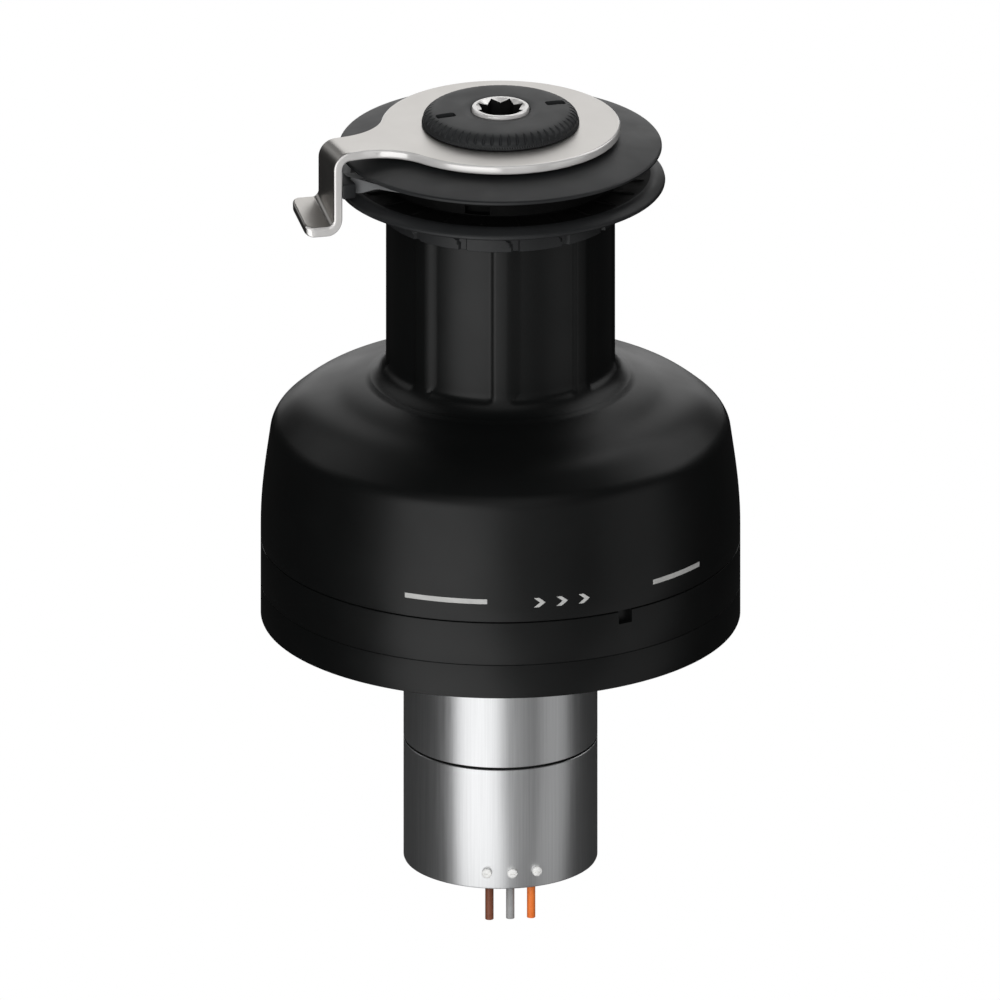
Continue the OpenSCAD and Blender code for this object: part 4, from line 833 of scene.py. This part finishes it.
# the flat faces keep true upright normals, so that no streaks run across them
mesh = linePlate.data
armX, armY, _ = bearing(guide["bearing"], 1)
upright = {}
for vert in mesh.vertices:
    place = vert.co * 1000
    onPlate = place.x * armX + place.y * armY < bendX + 0.01
    for z, up in ((guide["z"] + guide["thick"], 1), (guide["z"], -1)):
        if onPlate and abs(place.z - z) < 0.005:
            upright[vert.index] = Vector((0, 0, up))
mesh.normals_split_custom_set([
    upright.get(loop.vertex_index, mesh.corner_normals[loop.index].vector.copy()) for loop in mesh.loops])
dress(linePlate, stainless, "root", "polished_stainless", "line_guide")


def onRim(place, normal):
    # the plate's narrow edges, and the two sides of the leg and paddle
    if place.x * armX + place.y * armY < bendX - 1:
        return abs(normal.z) < guide["flatNormal"]
    return abs(normal.y * armX - normal.x * armY) > guide["sideNormal"]


# painted highlight: the plate's rims and the leg's and paddle's sides get the near white stainless
dressPart(linePlate, highlightStainless, onRim)
print("line guide modelled")

# Turning cap: fluted side, thin toothed lip, two slots

cap = {"z": 262.4, "height": 7.5, "flutes": 56, "fluteDepth": 1.3, "fluteHalf": 0.85, "fluteZ": 4.7,
       "fluteRise": 2.2, "fluteFrom": 34.0, "stepsPerFlute": 20,
       "lipTop": 1.55, "teeth": 192, "toothDepth": 0.14,
       "slotAt": 28.8, "slot": (10.0, 5.5, 4.2), "slotCorner": 1.6, "slotBearing": 198.0, "profile": (
           (22.3, 0), (39.1, 0), (39.45, 0.3), (39.45, 1.2), (39.2, 1.5), (38.95, 1.7), (38.9, 2.2),
           (38.87, 2.6), (38.83, 3.0), (38.76, 3.35), (38.63, 3.7), (38.45, 4.05), (38.22, 4.4),
           (37.94, 4.75), (37.6, 5.1), (37.2, 5.45), (36.75, 5.8), (36.25, 6.1), (35.7, 6.4), (35.0, 6.7),
           (34.1, 6.95), (33.0, 7.15), (31.5, 7.3), (28, 7.42), (20, 7.5), (15.6, 7.5), (15.0, 7.1),
           (15.0, 5.3), (22.3, 5.3))}
turningCap = turned("turningCap", [(r, cap["z"] + h) for r, h in cap["profile"]],
                    cap["flutes"] * cap["stepsPerFlute"])


def fluteCap(x, y, z):
    # oval flutes round the side, and fine teeth on the lip below them
    radius = math.hypot(x, y)
    rise = z - cap["z"]
    if radius < cap["fluteFrom"] or rise < 0.1:
        return x, y, z
    turn = math.degrees(math.atan2(y, x))
    if rise < cap["lipTop"]:
        depth = cap["toothDepth"] * (1 + math.cos(math.radians(turn * cap["teeth"])))
    else:
        aside = math.radians(abs(angleBetween(turn * cap["flutes"], 0)) / cap["flutes"]) * radius
        across, up = aside / cap["fluteHalf"], (rise - cap["fluteZ"]) / cap["fluteRise"]
        depth = cap["fluteDepth"] * math.sqrt(max(0, 1 - across ** 2 - up ** 2))
    keep = (radius - depth) / radius
    return x * keep, y * keep, z


moveVerts(turningCap, fluteCap)
for at in (cap["slotBearing"], cap["slotBearing"] + 180):
    cutter = startBlock("slotCutter", bearing(at, cap["slotAt"], cap["z"] + cap["height"]), cap["slot"], at)
    onlySelect(cutter)
    pickEdges(cutter, lambda a, b: abs(a.z - b.z) > 1)
    bpy.ops.mesh.bevel(offset=mm(cap["slotCorner"]), segments=5, affect="EDGES")
    objectMode()
    cutAway(turningCap, cutter)
cleanUp(turningCap)
smooth(turningCap, 40)
dress(turningCap, capNylon, "top_cap", "black_composite", "top_cap")
print("cap modelled")

# Spindle with the handle's star socket

spindle = {"top": 271.3, "flat": 17.2, "depth": 25.0, "tipDip": 0.2, "valleyDip": 1.7, "mouth": 12.5,
           "shadeFrom": 240.0,
           "shaft": ((0, 83.2), (6.6, 83.2), (6.6, 91.4), (12, 91.4), (12, 94.4), (9, 94.4), (9, 234.5),
                     (14.5, 238)),
           "rim": ((14.5, 1.1), (14.38, 0.55), (14.1, 0.2), (13.7, 0), (12.6, 0), (12.4, 0.1))}
top = spindle["top"]
tip = spindle["flat"] / 2 * math.sqrt(2)
valley = spindle["flat"] / 2 / math.cos(math.radians(22.5))
starPoints = []
for k in range(0, 16, 2):
    starPoints += [bearing(22.5 + 22.5 * k, tip, top - spindle["tipDip"]),
                   bearing(45 + 22.5 * k, valley, top - spindle["valleyDip"])]
rimCurve = [(r, top - dip) for r, dip in spindle["rim"]]
shaft = turned("spindleShaft", [*spindle["shaft"], *rimCurve], 128, closed=False)
star = drawLine("star", starPoints + [starPoints[0]])
cleanUp(star)
star.data.update()
onlySelect(star)
editMode("EDGE")
bpy.ops.mesh.select_all(action="SELECT")
bpy.ops.mesh.extrude_region_move(TRANSFORM_OT_translate={"value": (0, 0, -mm(spindle["depth"]))})
bpy.ops.mesh.edge_face_add()
objectMode()
shaft = joinPieces("spindleShaft", [shaft, star])
pickEdges(shaft, lambda a, b: min(a.z, b.z) > top - spindle["valleyDip"] - 0.1 and
          max(math.hypot(a.x, a.y), math.hypot(b.x, b.y)) < spindle["mouth"])
bpy.ops.mesh.bridge_edge_loops()
objectMode()
cleanUp(shaft)
smooth(shaft, 30)
# painted highlight: the spindle gets the near white, half matte stainless
dress(shaft, highlightStainless, "drive_shaft", "polished_stainless", "spindle")
# painted shade: the socket's inner faces below the mouth get the dark steel
dressPart(shaft, socketShadeSteel, lambda p, n: spindle["shadeFrom"] < p.z < top - 2 and
          math.hypot(p.x, p.y) < spindle["mouth"] - 0.2)
print("spindle modelled")

# Feeder behind the leg, with its pale tongue in the groove

feeder = {"low": 237.4, "blockTop": 245.2, "blockPlace": (85.2, 1.9), "block": (7.0, 19.0), "edge": 0.8,
          "tongueTop": 244.4, "tongueStart": -4.0, "tongueReach": 30.0, "outer": (84.0, 69.0),
          "inner": (72.0, 66.0), "greyWithin": 81.6}
blockHeight = feeder["blockTop"] - feeder["low"]
block = startBlock("feederBlock", (*feeder["blockPlace"], feeder["low"] + blockHeight / 2),
                   (*feeder["block"], blockHeight))
breakEdges(block, feeder["edge"], 3)
tongue = startPiece("tongue", size=mm(1), location=(0, 0, 0))
editMode("VERT")
bpy.ops.mesh.select_all(action="SELECT")
bpy.ops.mesh.subdivide(number_cuts=15)
bpy.ops.mesh.extrude_region_move(TRANSFORM_OT_translate={"value": (0, 0, mm(1))})
objectMode()


def tongueShape(px, py, pz):
    # from a block of 1 mm: s runs along the groove, t from its inside outwards
    s, t = px + 0.5, py + 0.5
    outer = feeder["outer"][0] * (1 - s) + feeder["outer"][1] * s
    inner = feeder["inner"][0] * (1 - s) + feeder["inner"][1] * s
    lowZ = feeder["low"] + 0.2 + 0.9 * s + 5.5 * blendIn(s, 0.25, 0.65)      # lifts clear of the lower jaw
    highZ = feeder["tongueTop"] + 1.5 * math.sin(math.pi * s)
    return bearing(feeder["tongueStart"] + feeder["tongueReach"] * s, inner + (outer - inner) * t,
                   lowZ + (highZ - lowZ) * pz)


moveVerts(tongue, tongueShape)
cleanUp(tongue)
feederBody = joinPieces("feederBody", [block, tongue])
turnRound(feederBody, guide["bearing"])
cleanUp(feederBody)
smooth(feederBody, 35)
dress(feederBody, composite, "root", "black_composite", "feeder")
dressPart(feederBody, greyAcetal, lambda p, n: p.x * armX + p.y * armY < feeder["greyWithin"])
print("feeder modelled")

# Inner pieces keep their solids and get the finish of their slot

finishes = {
    "black_anodised": anodised, "black_composite": composite, "polished_stainless": stainless,
    "fastener_steel": fastenerSteel, "gear_steel": gearSteel, "stem_aluminium": castAluminium,
    "can_aluminium": canAluminium, "bronze": bronze, "copper": copper, "seal_rubber": rubber,
    "board_green": boardEpoxy, "capacitor_sleeve": capacitorSleeve, "nylon_white": whiteNylon,
    "lead_brown": leadBrown, "lead_grey": leadGrey, "lead_orange": leadOrange}
for entry in frame["record"]["subparts"]:
    solid = frame["nodes"][entry["node"]]
    for slotPlace in solid.material_slots:
        slotPlace.material = finishes[entry["material_slot"]]
print("inner pieces dressed")

# Stage: pale floor and backdrop behind the winch, soft lamps

stage = {"floorZ": -450.0, "floorRadius": 560.0, "wallY": 2600.0, "wallWidth": 1950.0,
         "wallHeights": (-150.0, 2700.0), "floorGlow": 0.6}


def glowingPaint(name, rays, share):
    # matte pale paint that glows, by a share, for the rays that see it
    material = bpy.data.materials.new(name)
    material.use_nodes = True
    tree = material.node_tree
    tree.nodes.clear()
    path = addNode(tree, "ShaderNodeLightPath")
    seen = path.outputs["Is Camera Ray"]
    for ray in rays:
        either = addNode(tree, "ShaderNodeMath", {"operation": "MAXIMUM"}, {0: seen, 1: path.outputs[ray]})
        seen = either.outputs[0]
    part = addNode(tree, "ShaderNodeMath", {"operation": "MULTIPLY", 1: share}, {0: seen})
    matte = addNode(tree, "ShaderNodeBsdfDiffuse", {"Color": hexColour("e6e6e6")})
    glow = addNode(tree, "ShaderNodeEmission", {"Color": (1, 1, 1, 1), "Strength": 1.0})
    mixed = addNode(tree, "ShaderNodeMixShader",
                    links={0: part.outputs[0], 1: matte.outputs[0], 2: glow.outputs[0]})
    addNode(tree, "ShaderNodeOutputMaterial", links={"Surface": mixed.outputs[0]})
    return material


backdrop = startPiece("backdrop", size=1, location=(0, 0, 0))
wallLow, wallHigh = stage["wallHeights"]
moveVerts(backdrop, lambda x, y, z: (x / 1000 * stage["wallWidth"], stage["wallY"],
                                     wallLow + (y / 1000 + 0.5) * (wallHigh - wallLow)))
backdrop.data.materials.append(glowingPaint("palePaper", ("Is Glossy Ray", "Is Transmission Ray"), 1.0))
floor = startPiece("floor", "circle", vertices=96, radius=mm(stage["floorRadius"]), fill_type="NGON",
                   location=(0, 0, mm(stage["floorZ"])))
floor.data.materials.append(glowingPaint("palePaint", (), stage["floorGlow"]))
floor.visible_glossy = floor.visible_shadow = False

world = bpy.data.worlds.new("studio")
bpy.context.scene.world = world
world.use_nodes = True
tree = world.node_tree
tree.nodes.clear()
path = addNode(tree, "ShaderNodeLightPath")
strength = addNode(tree, "ShaderNodeMapRange", {"To Min": 0.018, "To Max": 1.0},   # white only to the camera
                   {"Value": path.outputs["Is Camera Ray"]})
air = addNode(tree, "ShaderNodeBackground", {"Color": (1, 1, 1, 1)}, {"Strength": strength.outputs[0]})
addNode(tree, "ShaderNodeOutputWorld", links={"Surface": air.outputs[0]})

# each lamp: bearing, height angle, distance, width, height, brightness of its face, shown in reflections
lamps = {
    "keyPanel": (244, -18, 1.4, 1.32, 2.3, 1.12, True),
    "fillPanel": (336, -18, 1.5, 1.0, 2.1, 0.32, True),
    "centrePanel": (291, -18, 1.5, 0.7, 2.1, 0.21, True),
    "frontTop": (270, 38, 1.6, 1.5, 1.0, 0.28, True),
    "backLeft": (150, 40, 1.7, 1.2, 1.0, 0.42, True),
    "backRight": (30, 40, 1.7, 1.2, 1.0, 0.85, True),
    "backTop": (75, 62, 1.6, 1.1, 0.6, 1.1, True),
    "frontWash": (265, 30, 2.0, 2.2, 1.6, 2.6, False)}
for name, (at, height, away, width, tall, bright, shines) in lamps.items():
    turn, lift = math.radians(at), math.radians(height)
    toLamp = Vector((math.cos(turn) * math.cos(lift), math.sin(turn) * math.cos(lift), math.sin(lift)))
    data = bpy.data.lights.new(name, "AREA")
    data.shape = "RECTANGLE"
    data.size, data.size_y = width, tall
    data.energy = bright * math.pi * width * tall       # watts for an even brightness of the whole face
    lamp = bpy.data.objects.new(name, data)
    lamp.location = Vector((0, 0, 0.06)) + toLamp * away
    lamp.rotation_euler = toLamp.to_track_quat("Z", "Y").to_euler()
    lamp.visible_glossy = shines
    lamp.visible_camera = False
    bpy.context.collection.objects.link(lamp)

bpy.context.scene.view_settings.view_transform = "Standard"
bpy.context.view_layer.update()
print("stage set")
